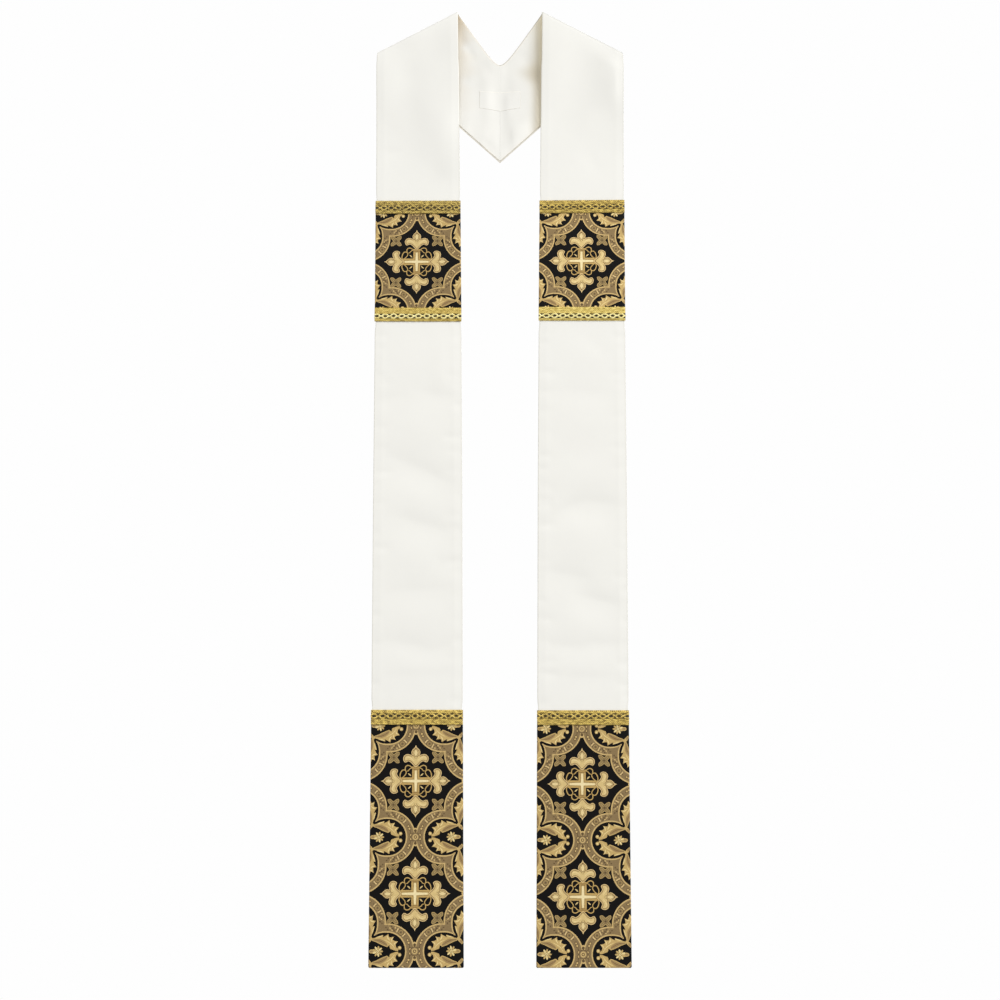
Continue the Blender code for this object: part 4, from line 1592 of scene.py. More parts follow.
    def leaf(self) -> list[Figure]:
        """The upper leaf of a lobe that points along +X: an acanthus with a knob at its tip.

        Returns:
            The figures, from the lowest layer up.
        """
        stem = [(15.2, 14.4), (18.6, 12.7), (22.9, 11.1), (28.3, 8.4), (32.6, 6.6), (36.4, 5.3)]
        teeth = [
            (38.2, 6.7), (39.6, 7.5), (39.6, 5.0), (40.6, 3.0), (43.9, 1.9), (47.0, 0.75), (50.4, 0.35),
            (50.8, 2.6), (48.0, 4.9), (47.1, 8.2), (48.4, 10.3), (50.2, 12.3), (46.6, 12.6), (43.4, 14.2),
            (43.8, 16.2), (45.2, 18.3), (41.6, 17.4), (38.8, 17.4), (38.2, 19.4), (37.9, 21.6), (35.0, 19.6),
            (30.6, 17.4), (31.2, 19.0), (31.2, 20.4), (27.4, 19.2), (24.2, 18.4), (21.0, 16.9), (17.0, 15.9),
        ]
        outline = np.concatenate((smooth_line(stem, steps=3), teeth))
        inside = [
            (17.6, 14.2), (22.0, 14.9), (27.6, 15.3), (32.0, 13.2), (35.6, 10.2), (36.6, 6.8), (31.4, 8.2),
            (24.4, 11.5),
        ]
        shade = smooth_line(inside, steps=3, closed=True)
        figures = [(outline, Thread.LEAF), (shade, Thread.LEAF_SHADE)]
        for line, width, thread in (
            ([(18.0, 14.6), (25.0, 13.6), (31.0, 11.2), (36.2, 7.4)], 0.7, Thread.GOLD_DARK),
            ([(33.0, 14.2), (38.0, 11.6), (42.6, 8.2), (46.0, 3.6)], 1.0, Thread.LEAF_LIGHT),
            ([(36.6, 19.6), (37.2, 16.6), (39.4, 13.6)], 1.5, Thread.LEAF_LIGHT),
            ([(43.8, 17.4), (42.2, 14.6), (42.0, 11.8)], 1.3, Thread.LEAF_LIGHT),
            ([(48.8, 11.8), (46.0, 9.8), (45.0, 7.2)], 1.2, Thread.LEAF_LIGHT),
            ([(22.6, 17.2), (27.0, 18.3), (30.4, 19.6)], 1.2, Thread.LEAF_LIGHT),
        ):
            figures.append((stroke(smooth_line(line), width, 0.4, 0.4), thread))
        knob = (disc((52.3, 4.3), 2.35, 14), Thread.LEAF)
        return figures + [knob, (disc((52.5, 4.6), 1.2, 8), Thread.LEAF_LIGHT)]

    def daisy(self) -> list[Figure]:
        """The flower between two leaves, with its bud.

        Returns:
            The figures, from the lowest layer up.
        """
        bud = disc((16.6, 0.0), 2.5, 14, 1.5)
        figures = [(bud, Thread.LEAF), (disc((16.4, 0.0), 1.3, 10, 1.7), Thread.LEAF_SHADE)]
        for petal in range(self.petals):
            angle = 360.0 / self.petals * petal
            centre = arc_points(self.daisy_centre, self.petal_ring, angle, angle, 1)[0]
            thread = Thread.LEAF_LIGHT if petal % 2 else Thread.LEAF
            figures.append((disc(tuple(centre), 1.25, 10, 2.0, angle), thread))
        return figures + rings(self.daisy_centre, (1.8, 10, Thread.LEAF_LIGHT), (0.8, 6, Thread.LEAF_SHADE))

    def joint(self) -> list[Figure]:
        """Where the stems of two lobes' leaves are bound, inside a barb."""
        clasp = np.array([(11.0, 8.6), (15.4, 12.4), (17.6, 16.4), (16.4, 17.6), (12.4, 15.4), (8.6, 11.0)])
        return [(clasp, Thread.LEAF), (disc((12.0, 12.0), 1.5, 10, 1.6, 45.0), Thread.LEAF_SHADE)]

    def quatrefoil(self) -> list[Figure]:
        """The whole quatrefoil: its band with its marks, and the leaves inside it.

        Returns:
            The figures, from the lowest layer up.
        """
        line = self.line_width
        figures: list[Figure] = [
            (self.quatrefoil_outline(0.0), Thread.LINE),
            (self.quatrefoil_outline(-line), Thread.TAUPE),
            (self.eye_outline(line), Thread.LINE),
            (self.eye_outline(0.0), Thread.GROUND),
        ]
        lobe = self.band_marks() + self.leaf()
        lobe += [(points * (1.0, -1.0), thread) for points, thread in lobe] + self.daisy() + self.joint()
        for turn in range(4):
            figures += [(turned(points, 90.0 * turn), thread) for points, thread in lobe]
        return figures

    def knot(self) -> list[Figure]:
        """The rosette where two quatrefoils touch, with a dome in each star's tip beside it.

        Returns:
            The figures, from the lowest layer up.
        """
        figures: list[Figure] = []
        for turn in (0.0, 180.0):
            figures.append((turned(disc((0.0, 9.0), 2.7, 14, 0.9), turn), Thread.LINE))
            figures.append((turned(disc((0.0, 7.9), 1.9, 12), turn), Thread.TAUPE_DARK))
        rosette = ((6.0, 24, Thread.TAUPE_DARK), (5.2, 24, Thread.TAUPE), (3.7, 20, Thread.LINE))
        return figures + rings((0.0, 0.0), *rosette, (2.2, 16, Thread.TAUPE_DARK), (1.2, 8, Thread.LINE))

    def cell(self) -> list[Figure]:
        """All figures of one repeat round a cross.

        Returns:
            The figures, from the lowest layer up.
        """
        half = self.pitch / 2.0
        figures = [(points + (half, half), thread) for points, thread in self.quatrefoil()]
        figures += [(points + (0.0, half), thread) for points, thread in self.knot()]
        figures += [(turned(points, 90.0) + (half, 0.0), thread) for points, thread in self.knot()]
        figures += self.cross()
        for x in (-1.0, 1.0):
            for y in (-1.0, 1.0):
                place = np.array(self.flower_place) * (x, y)
                figures += [(points + place, thread) for points, thread in self.flower()]
        return figures


@dataclass
class BrocadeBand:
    """One brocade band: a closed sheet over the outer cloth, rolled round the edges of the front."""

    cut: StoleCut
    relief: ClothRelief
    figure: BrocadeFigure
    half: Half
    name: str
    bottom: float
    top: float
    cross: Pair
    lean: float
    wraps_hem: bool
    # How much lighter its thread colours are made, a painted light where the band is lit more
    shade: float = 1.02
    roll_radius: float = 1.8 * MM
    roll_share: float = 0.96
    grid_mm: float = 6.0
    grid_columns: int = 20
    fine_mm: float = 2.0
    roll_rows: int = 7
    last_row: float = 0.9
    corner_steps: int = 6

    def edges(self, y: Array) -> tuple[Array, Array]:
        """Finds the two straight lines, inside the edges, from which the band rolls under.

        Args:
            y: where to look.

        Returns:
            The X of the left line and of the right one.
        """
        outset = self.cut.heights.brocade_wall + self.cut.heights.gap
        inner, outer = self.cut.edges_at(y)
        inner = inner - outset + self.roll_radius
        outer = outer + outset - self.roll_radius
        return (-outer, -inner) if self.half is Half.LEFT else (inner, outer)

    def roll(self) -> float:
        """How far the cloth runs on from the start of its roll."""
        return math.pi * self.roll_radius * self.roll_share

    def low_line(self) -> float:
        """The Y at which the lower edge starts to roll under, or ends."""
        return self.cut.hem_y + self.roll_radius if self.wraps_hem else self.bottom

    def outline(self) -> Array:
        """Draws the outline of the sheet before it is rolled round the edges.

        Returns:
            The polygon.
        """
        low, roll = self.low_line(), self.roll()
        left, right = self.edges(np.array([low, self.top]))
        upper = [(right[1] + roll, self.top), (left[1] - roll, self.top)]
        if not self.wraps_hem:
            return np.array([(left[0] - roll, low), (right[0] + roll, low), *upper])
        corners = [
            arc_points((x, low), roll, start, start + 90.0, self.corner_steps)
            for x, start in ((left[0], 180.0), (right[0], 270.0))
        ]
        return np.concatenate((*corners, upper))

    def figures(self) -> list[Figure]:
        """Lays the repeats over the band.

        Returns:
            Its figures in metres, from the lowest layer up, which is its ground.
        """
        outline = self.outline()
        low, high = outline.min(axis=0) - MM, outline.max(axis=0) + MM
        cell = self.figure.cell()
        layers: list[list[Figure]] = [[] for _ in cell]
        steps = range(-3, 4)
        for across in steps:
            for up in steps:
                step = turned(np.array([(across, up)]) * self.figure.pitch * MM, self.lean)
                shift = step + np.array(self.cross)
                for layer, (points, thread) in zip(layers, cell):
                    placed = turned(points * MM, self.lean) + shift
                    if (placed.max(axis=0) > low).all() and (placed.min(axis=0) < high).all():
                        layer.append((placed, thread))
        return [(outline, Thread.GROUND)] + [figure for layer in layers for figure in layer]

    def guide_points(self) -> Array:
        """Adds points to the sheet, so that it can bend.

        Returns:
            A grid, and close rows where the sheet rolls.
        """
        outline = self.outline()
        low, high = outline.min(axis=0) / MM, outline.max(axis=0) / MM
        y = np.arange(low[1] + 1.0, high[1], self.grid_mm) * MM
        left, right = self.edges(y)
        rows = []
        for share in np.linspace(0.0, 1.0, self.grid_columns)[1:-1]:
            rows.append(np.column_stack((left + (right - left) * share, y)))
        fine = np.arange(low[1] + 0.5, high[1], self.fine_mm) * MM
        left, right = self.edges(fine)
        into_roll = np.linspace(0.0, self.last_row, self.roll_rows) * self.roll()
        for way in into_roll:
            rows.append(np.column_stack((left - way, fine)))
            rows.append(np.column_stack((right + way, fine)))
        if self.wraps_hem:
            line = self.low_line()
            left, right = self.edges(np.array([line]))
            x = np.arange(left[0], right[0], self.fine_mm * MM)
            for way in into_roll:
                rows.append(np.column_stack((x, np.full(len(x), line - way))))
        return np.concatenate(rows)

    def rolled(self, flat: Array, drop: float) -> Array:
        """Rolls the sheet round the edges.

        Args:
            flat: points of the sheet as it lies flat.
            drop: how deep they lie under its face.

        Returns:
            X, Y and Z.
        """
        left, right = self.edges(flat[:, 1])
        beyond_x = np.where(flat[:, 0] < left, flat[:, 0] - left, np.maximum(flat[:, 0] - right, 0.0))
        beyond_y = np.minimum(flat[:, 1] - self.low_line(), 0.0) if self.wraps_hem else np.zeros(len(flat))
        beyond = np.hypot(beyond_x, beyond_y)
        turn = np.clip(beyond / self.roll_radius, 0.0, math.pi)
        way = np.column_stack((beyond_x, beyond_y)) / np.maximum(beyond, 1e-9)[:, None]
        flat_part = flat - np.column_stack((beyond_x, beyond_y))
        radius = self.roll_radius - drop
        plan = flat_part + way * (radius * np.sin(turn))[:, None]
        heights = self.cut.heights
        face = heights.brocade_face - heights.lining_face
        z = face - self.roll_radius + radius * np.cos(turn)
        z = z + self.relief.every_layer(self.half, flat_part[:, 0], flat_part[:, 1])
        return np.column_stack((plan, z))

    def surface(self) -> Surface:
        """Makes the closed sheet.

        Returns:
            The sheet, with one thread colour for each face.
        """
        figures = self.figures()
        points: list[Array] = []
        loops: list[list[int]] = []
        count = 0
        for polygon, _ in figures:
            points.append(anticlockwise(polygon))
            loops.append(list(range(count, count + len(polygon))))
            count += len(polygon)
        points.append(self.guide_points())
        scaled = np.concatenate(points) / MM
        centre = scaled.mean(axis=0)
        vectors = [Vector(point) for point in (scaled - centre).tolist()]
        found = delaunay_2d_cdt(vectors, [], loops, 1, MERGED_MM, True)
        flat = (np.array([point[:] for point in found[0]]) + centre) * MM
        kept = [(face, max(owners)) for face, owners in zip(found[2], found[5]) if 0 in owners]
        face_index = np.array([face for face, _ in kept])
        used, face_index = np.unique(face_index, return_inverse=True)
        face_index = face_index.reshape(-1, 3)
        flat = flat[used]
        total = len(flat)
        sides = np.concatenate((face_index[:, [0, 1]], face_index[:, [1, 2]], face_index[:, [2, 0]]))
        keys = sides[:, 0].astype(np.int64) * total + sides[:, 1]
        open_side = ~np.isin(keys, sides[:, 1].astype(np.int64) * total + sides[:, 0])
        rim = sides[open_side]
        rim_faces = np.column_stack((rim[:, 1], rim[:, 0], rim[:, 0] + total, rim[:, 1] + total))
        # Thread colours made lighter by the band's painted light
        face_colours = self.shade * np.array([figures[layer][1].value for _, layer in kept])
        ground = np.tile(Thread.GROUND.value, (len(face_index) + len(rim), 1))
        colours = np.concatenate((face_colours, ground))
        faces = face_index.tolist() + (face_index[:, ::-1] + total).tolist() + rim_faces.tolist()
        placed = np.concatenate((self.rolled(flat, 0.0), self.rolled(flat, self.cut.heights.brocade_wall)))
        return Surface(placed, faces, uv=np.tile(flat, (2, 1)), face_colours=colours)

    def build(self, finish: WovenBrocade) -> Object:
        """Makes the band, hides the part of model.glb that it stands for, and draws its outline.

        Args:
            finish: its cloth.

        Returns:
            The band.
        """
        side = self.half.name.lower()
        place = f"{self.name}_{side}"
        obj = self.surface().piece(f"woven_{place}", [finish.material()], "brocade")
        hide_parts(f"brocade_{place}")
        outline = self.outline()
        return obj


# ---- Gold braid and sewing ----


class GeometryTree:
    """A Geometry Nodes tree with named inputs, whose result is one realised mesh with one material."""

    def __init__(self, name: str, inputs: dict[str, float]) -> None:
        """Starts the tree.

        Args:
            name: the tree's name.
            inputs: the named inputs, all plain numbers, with their values.
        """
        self.group = bpy.data.node_groups.new(name, "GeometryNodeTree")
        self.group.interface.new_socket("Geometry", in_out="OUTPUT", socket_type="NodeSocketGeometry")
        self.values = inputs
        self.identifiers = {}
        for label in inputs:
            socket = self.group.interface.new_socket(label, in_out="INPUT", socket_type="NodeSocketFloat")
            self.identifiers[label] = socket.identifier
        self.tree = Tree(self.group)
        self.start = self.group.nodes.new("NodeGroupInput")
        self.end = self.group.nodes.new("NodeGroupOutput")

    def __getitem__(self, label: str) -> NodeSocket:
        """The socket of a named input."""
        return self.start.outputs[label]

    def ends(self) -> dict[str, NodeSocket]:
        """Adds the ends of a line along X that is as long as the input Length, with its middle at the origin.

        Returns:
            The inputs of a Mesh Line node.
        """
        half = self.tree.math("MULTIPLY", self["Length"], 0.5)
        start = self.tree.add("ShaderNodeCombineXYZ", X=self.tree.math("MULTIPLY", half, -1.0))
        return {"Start_Location": start, "Offset": self.tree.add("ShaderNodeCombineXYZ", X=half)}

    def finish(self, geometry: NodeSocket, material: Material) -> None:
        """Realises the instances, sets the material and joins the output.

        Args:
            geometry: what the tree has made.
            material: its material.
        """
        real = self.tree.add("GeometryNodeRealizeInstances", Geometry=geometry)
        done = self.tree.add("GeometryNodeSetMaterial", Geometry=real, Material=material)
        self.group.links.new(done, self.end.inputs[0])

    def mesh(self) -> tuple[Array, Faces]:
        """Runs the tree once.

        Returns:
            The points and the faces of its mesh.
        """
        holder = linked("nodes", bpy.data.meshes.new("nodes"))
        modifier = holder.modifiers.new("nodes", "NODES")
        modifier.node_group = self.group
        for label, value in self.values.items():
            modifier[self.identifiers[label]] = float(value)
        graph = bpy.context.evaluated_depsgraph_get()
        mesh = bpy.data.meshes.new_from_object(holder.evaluated_get(graph))
        holder.modifiers.remove(modifier)
        points = np.empty(len(mesh.vertices) * 3, np.float32)
        mesh.vertices.foreach_get("co", points)
        faces = [tuple(polygon.vertices) for polygon in mesh.polygons]
        bpy.data.objects.remove(holder)
        bpy.data.meshes.remove(mesh)
        return points.reshape(-1, 3).astype(float), faces


@dataclass(frozen=True)
class BraidPattern:
    """The relief of the galloon: two cords that cross again and again, and straight cords in both borders."""

    length: float = 121.0 * MM
    width: float = 19.5 * MM
    pitch: float = 10.9 * MM
    swing: float = 2.65 * MM
    link: float = 0.3 * MM
    eyelet_half: float = 3.7 * MM
    unevenness: float = 1.3 * MM
    chain_radius: float = 1.2 * MM
    chain_rise: float = 0.3 * MM
    border_share: float = 0.3
    noise_scale: float = 130.0
    noise_shift: float = 17.3
    border_radius: float = 0.9 * MM
    flatness: float = 0.55
    steps_per_pitch: int = 20
    border_steps: int = 60
    chain_off: float = 0.0
    chain_half: float = 4.2 * MM
    border_start: float = 4.35 * MM
    border_step: float = 1.48 * MM
    border_cords: int = 8
    cord_sides: int = 8
    border_end: float = 8.9 * MM

    def border_places(self) -> list[float]:
        """Works out how far off the middle line each cord of the borders runs.

        Returns:
            The distances.
        """
        steps = self.border_start + self.border_step * np.arange(self.border_cords)
        places = np.concatenate((self.chain_off + steps, self.chain_off - steps))
        return [float(place) for place in places if abs(place) < self.border_end]

    def eyelets(self, braid: GeometryTree, along: NodeSocket, sign: float) -> tuple[NodeSocket, NodeSocket]:
        """Where one of the two crossing cords runs.

        Args:
            braid: the braid's tree.
            along: the place along the braid.
            sign: 1 for one cord and -1 for the other.

        Returns:
            Its offset across the braid, and up.
        """
        tree = braid.tree
        half_pitch = tree.math("MULTIPLY", braid["Pitch"], 0.5)
        from_crossing = tree.math("PINGPONG", along, half_pitch)
        part = tree.math("DIVIDE", tree.math("SUBTRACT", half_pitch, from_crossing), braid["Eyelet Half"])
        squared = tree.math("MINIMUM", tree.math("MULTIPLY", part, part), 1.0)
        arch = tree.math("SQRT", tree.math("SUBTRACT", 1.0, squared))
        swing = tree.math("SUBTRACT", braid["Swing"], braid["Link"])
        apart = tree.math("ADD", tree.math("MULTIPLY", arch, swing), braid["Link"])
        turn = tree.math("MULTIPLY", tree.math("DIVIDE", along, braid["Pitch"]), math.pi)
        side = tree.math("MULTIPLY", tree.math("SIGN", tree.math("SINE", turn)), sign)
        rise = tree.math("MULTIPLY", tree.math("MULTIPLY", tree.math("COSINE", turn), braid["Link"]), sign)
        return tree.math("MULTIPLY", apart, side), tree.math("ADD", rise, self.chain_rise)

    def cords(self, chain: bool, shift: float, material: Material) -> tuple[Array, Faces]:
        """The braid's cords, with X along the braid from its middle, Y across it and Z up from its ground.

        Args:
            chain: the cords that cross, and not those of the borders.
            shift: how far along its length the braid was cut off.
            material: the material of the thread.

        Returns:
            The points and the faces.
        """
        inputs = {
            "Length": self.length,
            "Pitch": self.pitch,
            "Shift": shift,
            "Swing": self.swing,
            "Link": self.link,
            "Eyelet Half": self.eyelet_half,
            "Unevenness": self.unevenness if chain else self.border_share * self.unevenness,
            "Radius": self.chain_radius if chain else self.border_radius,
            "Flatness": self.flatness,
        }
        braid = GeometryTree("Galloon braid", inputs)
        tree = braid.tree
        join = tree.nodes.nodes.new("GeometryNodeJoinGeometry")
        steps = int(self.length / self.pitch * self.steps_per_pitch) if chain else self.border_steps
        x = tree.add("ShaderNodeSeparateXYZ", Vector=tree.add("GeometryNodeInputPosition"))
        along = tree.math("ADD", x, braid["Shift"])
        ends = braid.ends()
        ring = {"Resolution": self.cord_sides, "Radius": braid["Radius"]}
        circle = tree.add("GeometryNodeCurvePrimitiveCircle", **ring)
        places = (1.0, -1.0) if chain else self.border_places()
        for number, place in enumerate(places):
            line = tree.add("GeometryNodeMeshLine", {"mode": "END_POINTS"}, Count=steps, **ends)
            scaled = tree.math("MULTIPLY", along, self.noise_scale)
            where = {"W": tree.math("ADD", scaled, self.noise_shift * number), "Scale": 1.0, "Detail": 1.0}
            noise = tree.add("ShaderNodeTexNoise", {"noise_dimensions": "1D"}, **where)
            wander = tree.math("MULTIPLY", tree.math("SUBTRACT", noise, 0.5), braid["Unevenness"])
            if chain:
                y, z = self.eyelets(braid, along, place)
                y = tree.math("ADD", tree.math("ADD", y, wander), self.chain_off)
            else:
                y, z = tree.math("ADD", wander, place), 0.0
            offset = tree.add("ShaderNodeCombineXYZ", Y=y, Z=z)
            moved = tree.add("GeometryNodeSetPosition", Geometry=line, Offset=offset)
            path = tree.add("GeometryNodeMeshToCurve", Mesh=moved)
            tube = tree.add("GeometryNodeCurveToMesh", Curve=path, Profile_Curve=circle, Fill_Caps=True)
            tree.nodes.links.new(tube, join.inputs[0])
        scale = tree.add("ShaderNodeCombineXYZ", X=1.0, Y=1.0, Z=braid["Flatness"])
        flat = tree.add("GeometryNodeTransform", Geometry=join.outputs[0], Scale=scale)
        braid.finish(flat, material)
        return braid.mesh()


@dataclass(frozen=True)
class StitchRow:
    """A row of stitches: short rounded lengths of thread."""

    length: float
    spacing: float = 3.2 * MM
    stitch: float = 2.0 * MM
    radius: float = 0.2 * MM
    flatness: float = 0.8
    segments: int = 6
    rings: int = 4

    def mesh(self, material: Material) -> tuple[Array, Faces]:
        """Makes the row's stitches, with X along the row from its middle.

        Args:
            material: the material of the thread.

        Returns:
            The points and the faces.
        """
        sizes = {"Spacing": self.spacing, "Stitch": self.stitch, "Radius": self.radius}
        row = GeometryTree("Stitches", {"Length": self.length, **sizes})
        tree = row.tree
        settings = {"mode": "END_POINTS", "count_mode": "RESOLUTION"}
        line = tree.add("GeometryNodeMeshLine", settings, Resolution=row["Spacing"], **row.ends())
        ball = {"Segments": self.segments, "Rings": self.rings, "Radius": row["Radius"]}
        bead = tree.add("GeometryNodeMeshUVSphere", **ball)
        stretch = tree.math("DIVIDE", tree.math("MULTIPLY", row["Stitch"], 0.5), row["Radius"])
        scale = tree.add("ShaderNodeCombineXYZ", X=stretch, Y=1.0, Z=self.flatness)
        stitch = tree.add("GeometryNodeTransform", Geometry=bead, Scale=scale)
        placed = tree.add("GeometryNodeInstanceOnPoints", Points=line, Instance=stitch)
        row.finish(placed, material)
        return row.mesh()


@dataclass
class Galloon:
    """One length of galloon: a woven ground with its cords on it, sewn down along both edges."""

    cut: StoleCut
    relief: ClothRelief
    pattern: BraidPattern
    half: Half
    name: str
    top: float
    shift: float
    free_edge: float
    tilt: float = 0.0
    tuck: float = 3.6 * MM
    edge_drop: float = 1.15 * MM
    ground_sink: float = 0.45 * MM
    ground_steps: int = 40
    edge_round: float = 0.5 * MM
    stitch_inset: float = 0.55 * MM
    stitch_rise: float = 0.1 * MM
    stitch_margin: float = 2.0 * MM

    def place(self, along: Array, across: Array, height: Array) -> Array:
        """Places points of the braid.

        Args:
            along: from the braid's middle.
            across: from its middle line, up the front.
            height: over the braid's ground.

        Returns:
            X, Y and Z.
        """
        centre_y = self.top - self.pattern.width / 2.0
        outset = self.cut.heights.brocade_wall + self.cut.heights.gap
        inner, outer = self.cut.edges_at(np.array([centre_y]))
        middle = self.half.value * (inner[0] + outer[0]) / 2.0
        stretch = (outer[0] - inner[0] + 2.0 * outset) / self.pattern.length
        x = middle + along * stretch
        share = np.clip(2.0 * along / self.pattern.length, -1.0, 1.0)
        y = centre_y + across + self.tilt * share
        ground = self.cut.heights.galloon_face - self.ground_sink - self.cut.heights.lining_face
        past_brocade = self.free_edge * across - (self.pattern.width / 2.0 - self.tuck)
        ground = ground - self.edge_drop * (1.0 - ease(past_brocade / self.tuck))
        z = ground + height + self.relief.every_layer(self.half, x, y)
        return np.column_stack((x, y, z))

    def ground_surface(self) -> Surface:
        """Makes the closed woven ground under the cords.

        Returns:
            The ground, with a dark material of painted shade down its middle, under the holes between the
            crossing cords.
        """
        half_width = self.pattern.width / 2.0
        thickness = self.cut.heights.galloon_face - self.cut.heights.galloon_inside - self.ground_sink
        edge, flat = self.edge_round, half_width - self.edge_round
        section = [(-half_width, -thickness), (-half_width, -edge), (-flat, 0.0)]
        section += [(self.pattern.chain_off + part * self.pattern.chain_half, 0.0) for part in (-1.0, 1.0)]
        section += [(flat, 0.0), (half_width, -edge), (half_width, -thickness)]
        section_points = np.array(section)
        along = np.linspace(-self.pattern.length / 2.0, self.pattern.length / 2.0, self.ground_steps)
        count = len(section)
        points = [self.place(np.full(count, place), *section_points.T) for place in along]
        faces: Faces = []
        materials = []
        for step in range(self.ground_steps - 1):
            for place in range(count):
                following = (place + 1) % count
                first, second = step * count, (step + 1) * count
                faces.append((first + following, first + place, second + place, second + following))
                # The strip under the crossing cords takes the painted shade
                materials.append(1 if place == 3 else 0)
        last = (self.ground_steps - 1) * count
        faces += [tuple(range(count)), tuple(range(last, last + count))[::-1]]
        return Surface(np.concatenate(points), faces, face_materials=np.array(materials + [0, 0]))

    def build(self, border: GoldThread, chain: GoldThread, ground: GoldThread) -> list[Object]:
        """Makes the braid, and hides the part of model.glb that it stands for.

        Args:
            border: the thread of its borders.
            chain: the thread of the cords that cross.
            ground: the painted shade that shows between them.

        Returns:
            Its ground and its cords.
        """
        materials = [finish.material() for finish in (border, ground, chain)]
        side = self.half.name.lower()
        place = f"{self.name}_{side}"
        base = self.ground_surface().piece(f"braid_{place}", materials[:2], "galloon")
        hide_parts(f"galloon_{place}")
        points: list[Array] = []
        faces: Faces = []
        numbers: list[int] = []
        count = 0
        edge = self.pattern.width / 2.0 - self.stitch_inset
        row = StitchRow(self.pattern.length - self.stitch_margin).mesh(materials[0])
        for (shape, shape_faces), across, rise, number in (
            (self.pattern.cords(True, self.shift, materials[2]), 0.0, 0.0, 1),
            (self.pattern.cords(False, self.shift, materials[0]), 0.0, 0.0, 0),
            (row, edge, self.stitch_rise, 0),
            (row, -edge, self.stitch_rise, 0),
        ):
            points.append(self.place(shape[:, 0], shape[:, 1] + across, shape[:, 2] + rise))
            faces += [tuple(corner + count for corner in face) for face in shape_faces]
            numbers += [number] * len(shape_faces)
            count += len(shape)
        whole = Surface(np.concatenate(points), faces, face_materials=np.array(numbers))
        cords = whole.piece(f"braid_{place}_cords", [materials[0], materials[2]], "galloon")
        return [base, cords]


@dataclass
class NeckLabel:
    """The blank label on the lining at the back of the neck: a ribbon whose lower edge dips to the seam."""

    cut: StoleCut
    relief: ClothRelief
    half_width: float = 29.3 * MM
    top: float = 541.0 * MM
    top_dip: float = 1.9 * MM
    bottom: float = 515.8 * MM
    bottom_dip: float = 5.3 * MM
    ease_over: float = 0.05 * MM
    thickness: float = 0.06 * MM
    rim_share: float = 0.4
    columns: int = 81
    rows: int = 41
    edge_round: float = 0.5 * MM
    border: Colour = (0.972, 0.955, 0.915)
    border_width: float = 0.8 * MM
    # Painted light along the lower edge
    lower_edge_light: float = 0.22
    shade_painter: PaintedClothShading = field(default_factory=PaintedClothShading)

    def surface(self) -> Surface:
        """Makes the closed ribbon.

        Returns:
            The ribbon, which follows the lining.
        """
        x = np.linspace(-self.half_width, self.half_width, self.columns)
        share = np.linspace(0.0, 1.0, self.rows)[:, None]
        near = 1.0 - np.abs(x) / self.half_width
        low = self.bottom - self.bottom_dip * near
        high = self.top - self.top_dip * near
        y = low + (high - low) * share
        x = np.broadcast_to(x, y.shape)
        side = np.minimum(self.half_width - np.abs(x), np.minimum(share, 1.0 - share) * (high - low))
        lining = self.cut.heights.outer_face - self.cut.heights.lining_face
        under = lining + self.ease_over + self.relief.neck(x, y)
        thick = self.thickness * (self.rim_share + (1.0 - self.rim_share) * bulge(side, self.edge_round))
        border = bell(side, self.border_width)[..., None]
        lower = bell(share * (high - low), self.border_width)[..., None]
        # A darker line along the edges, painted light along the lower edge, and the lining's patches of
        # painted light and shade
        painted_shading = (1.0 - border * (1.0 - np.array(self.border))) * (1.0 + self.lower_edge_light * lower)
        painted_shading = painted_shading * self.shade_painter.patch_shading(x, y, self.shade_painter.lining_shade_patches)
        count = x.size
        points = np.concatenate([np.stack((x, y, z), axis=-1).reshape(-1, 3) for z in (under + thick, under)])
        index = np.arange(count).reshape(x.shape)
        upper = grid_quads(index)
        rim = np.concatenate((index[0, :], index[1:, -1], index[-1, -2::-1], index[-2:0:-1, 0]))
        following = np.roll(rim, -1)
        sides = np.column_stack((following, rim, rim + count, following + count))
        faces = np.concatenate((upper, upper[:, ::-1] + count, sides))
        return Surface(points, faces.tolist(), uv=points[:, :2], painted_shading=np.tile(painted_shading.reshape(-1, 3), (2, 1)))

    def build(self, finish: PlainCloth) -> Object:
        """Makes the label, and hides the part of model.glb that it stands for.

        Args:
            finish: its cloth.

        Returns:
            The label.
        """
        obj = self.surface().piece("neck_label_ribbon", [finish.material()], "label")
        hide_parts("neck_label")
        return obj


# ---- Studio ----


@dataclass(frozen=True)
class Lamp:
    """A large soft lamp that points at the middle of the stole."""

    name: str
    power: float
    azimuth: float
    elevation: float
    size: float = 6.4
    distance: float = 16.0

    def build(self) -> Object:
        """Makes the lamp.

        Returns:
            The lamp.
        """
        light = bpy.data.lights.new(self.name, "AREA")
        light.energy = self.power
        light.size = self.size
        lamp = linked(self.name, light)
        turn, rise = math.radians(self.azimuth), math.radians(self.elevation)
        away = Vector((math.cos(turn) * math.cos(rise), math.sin(turn) * math.cos(rise), math.sin(rise)))
        lamp.location = away * self.distance
        lamp.rotation_euler = away.to_track_quat("Z", "Y").to_euler()
        return lamp


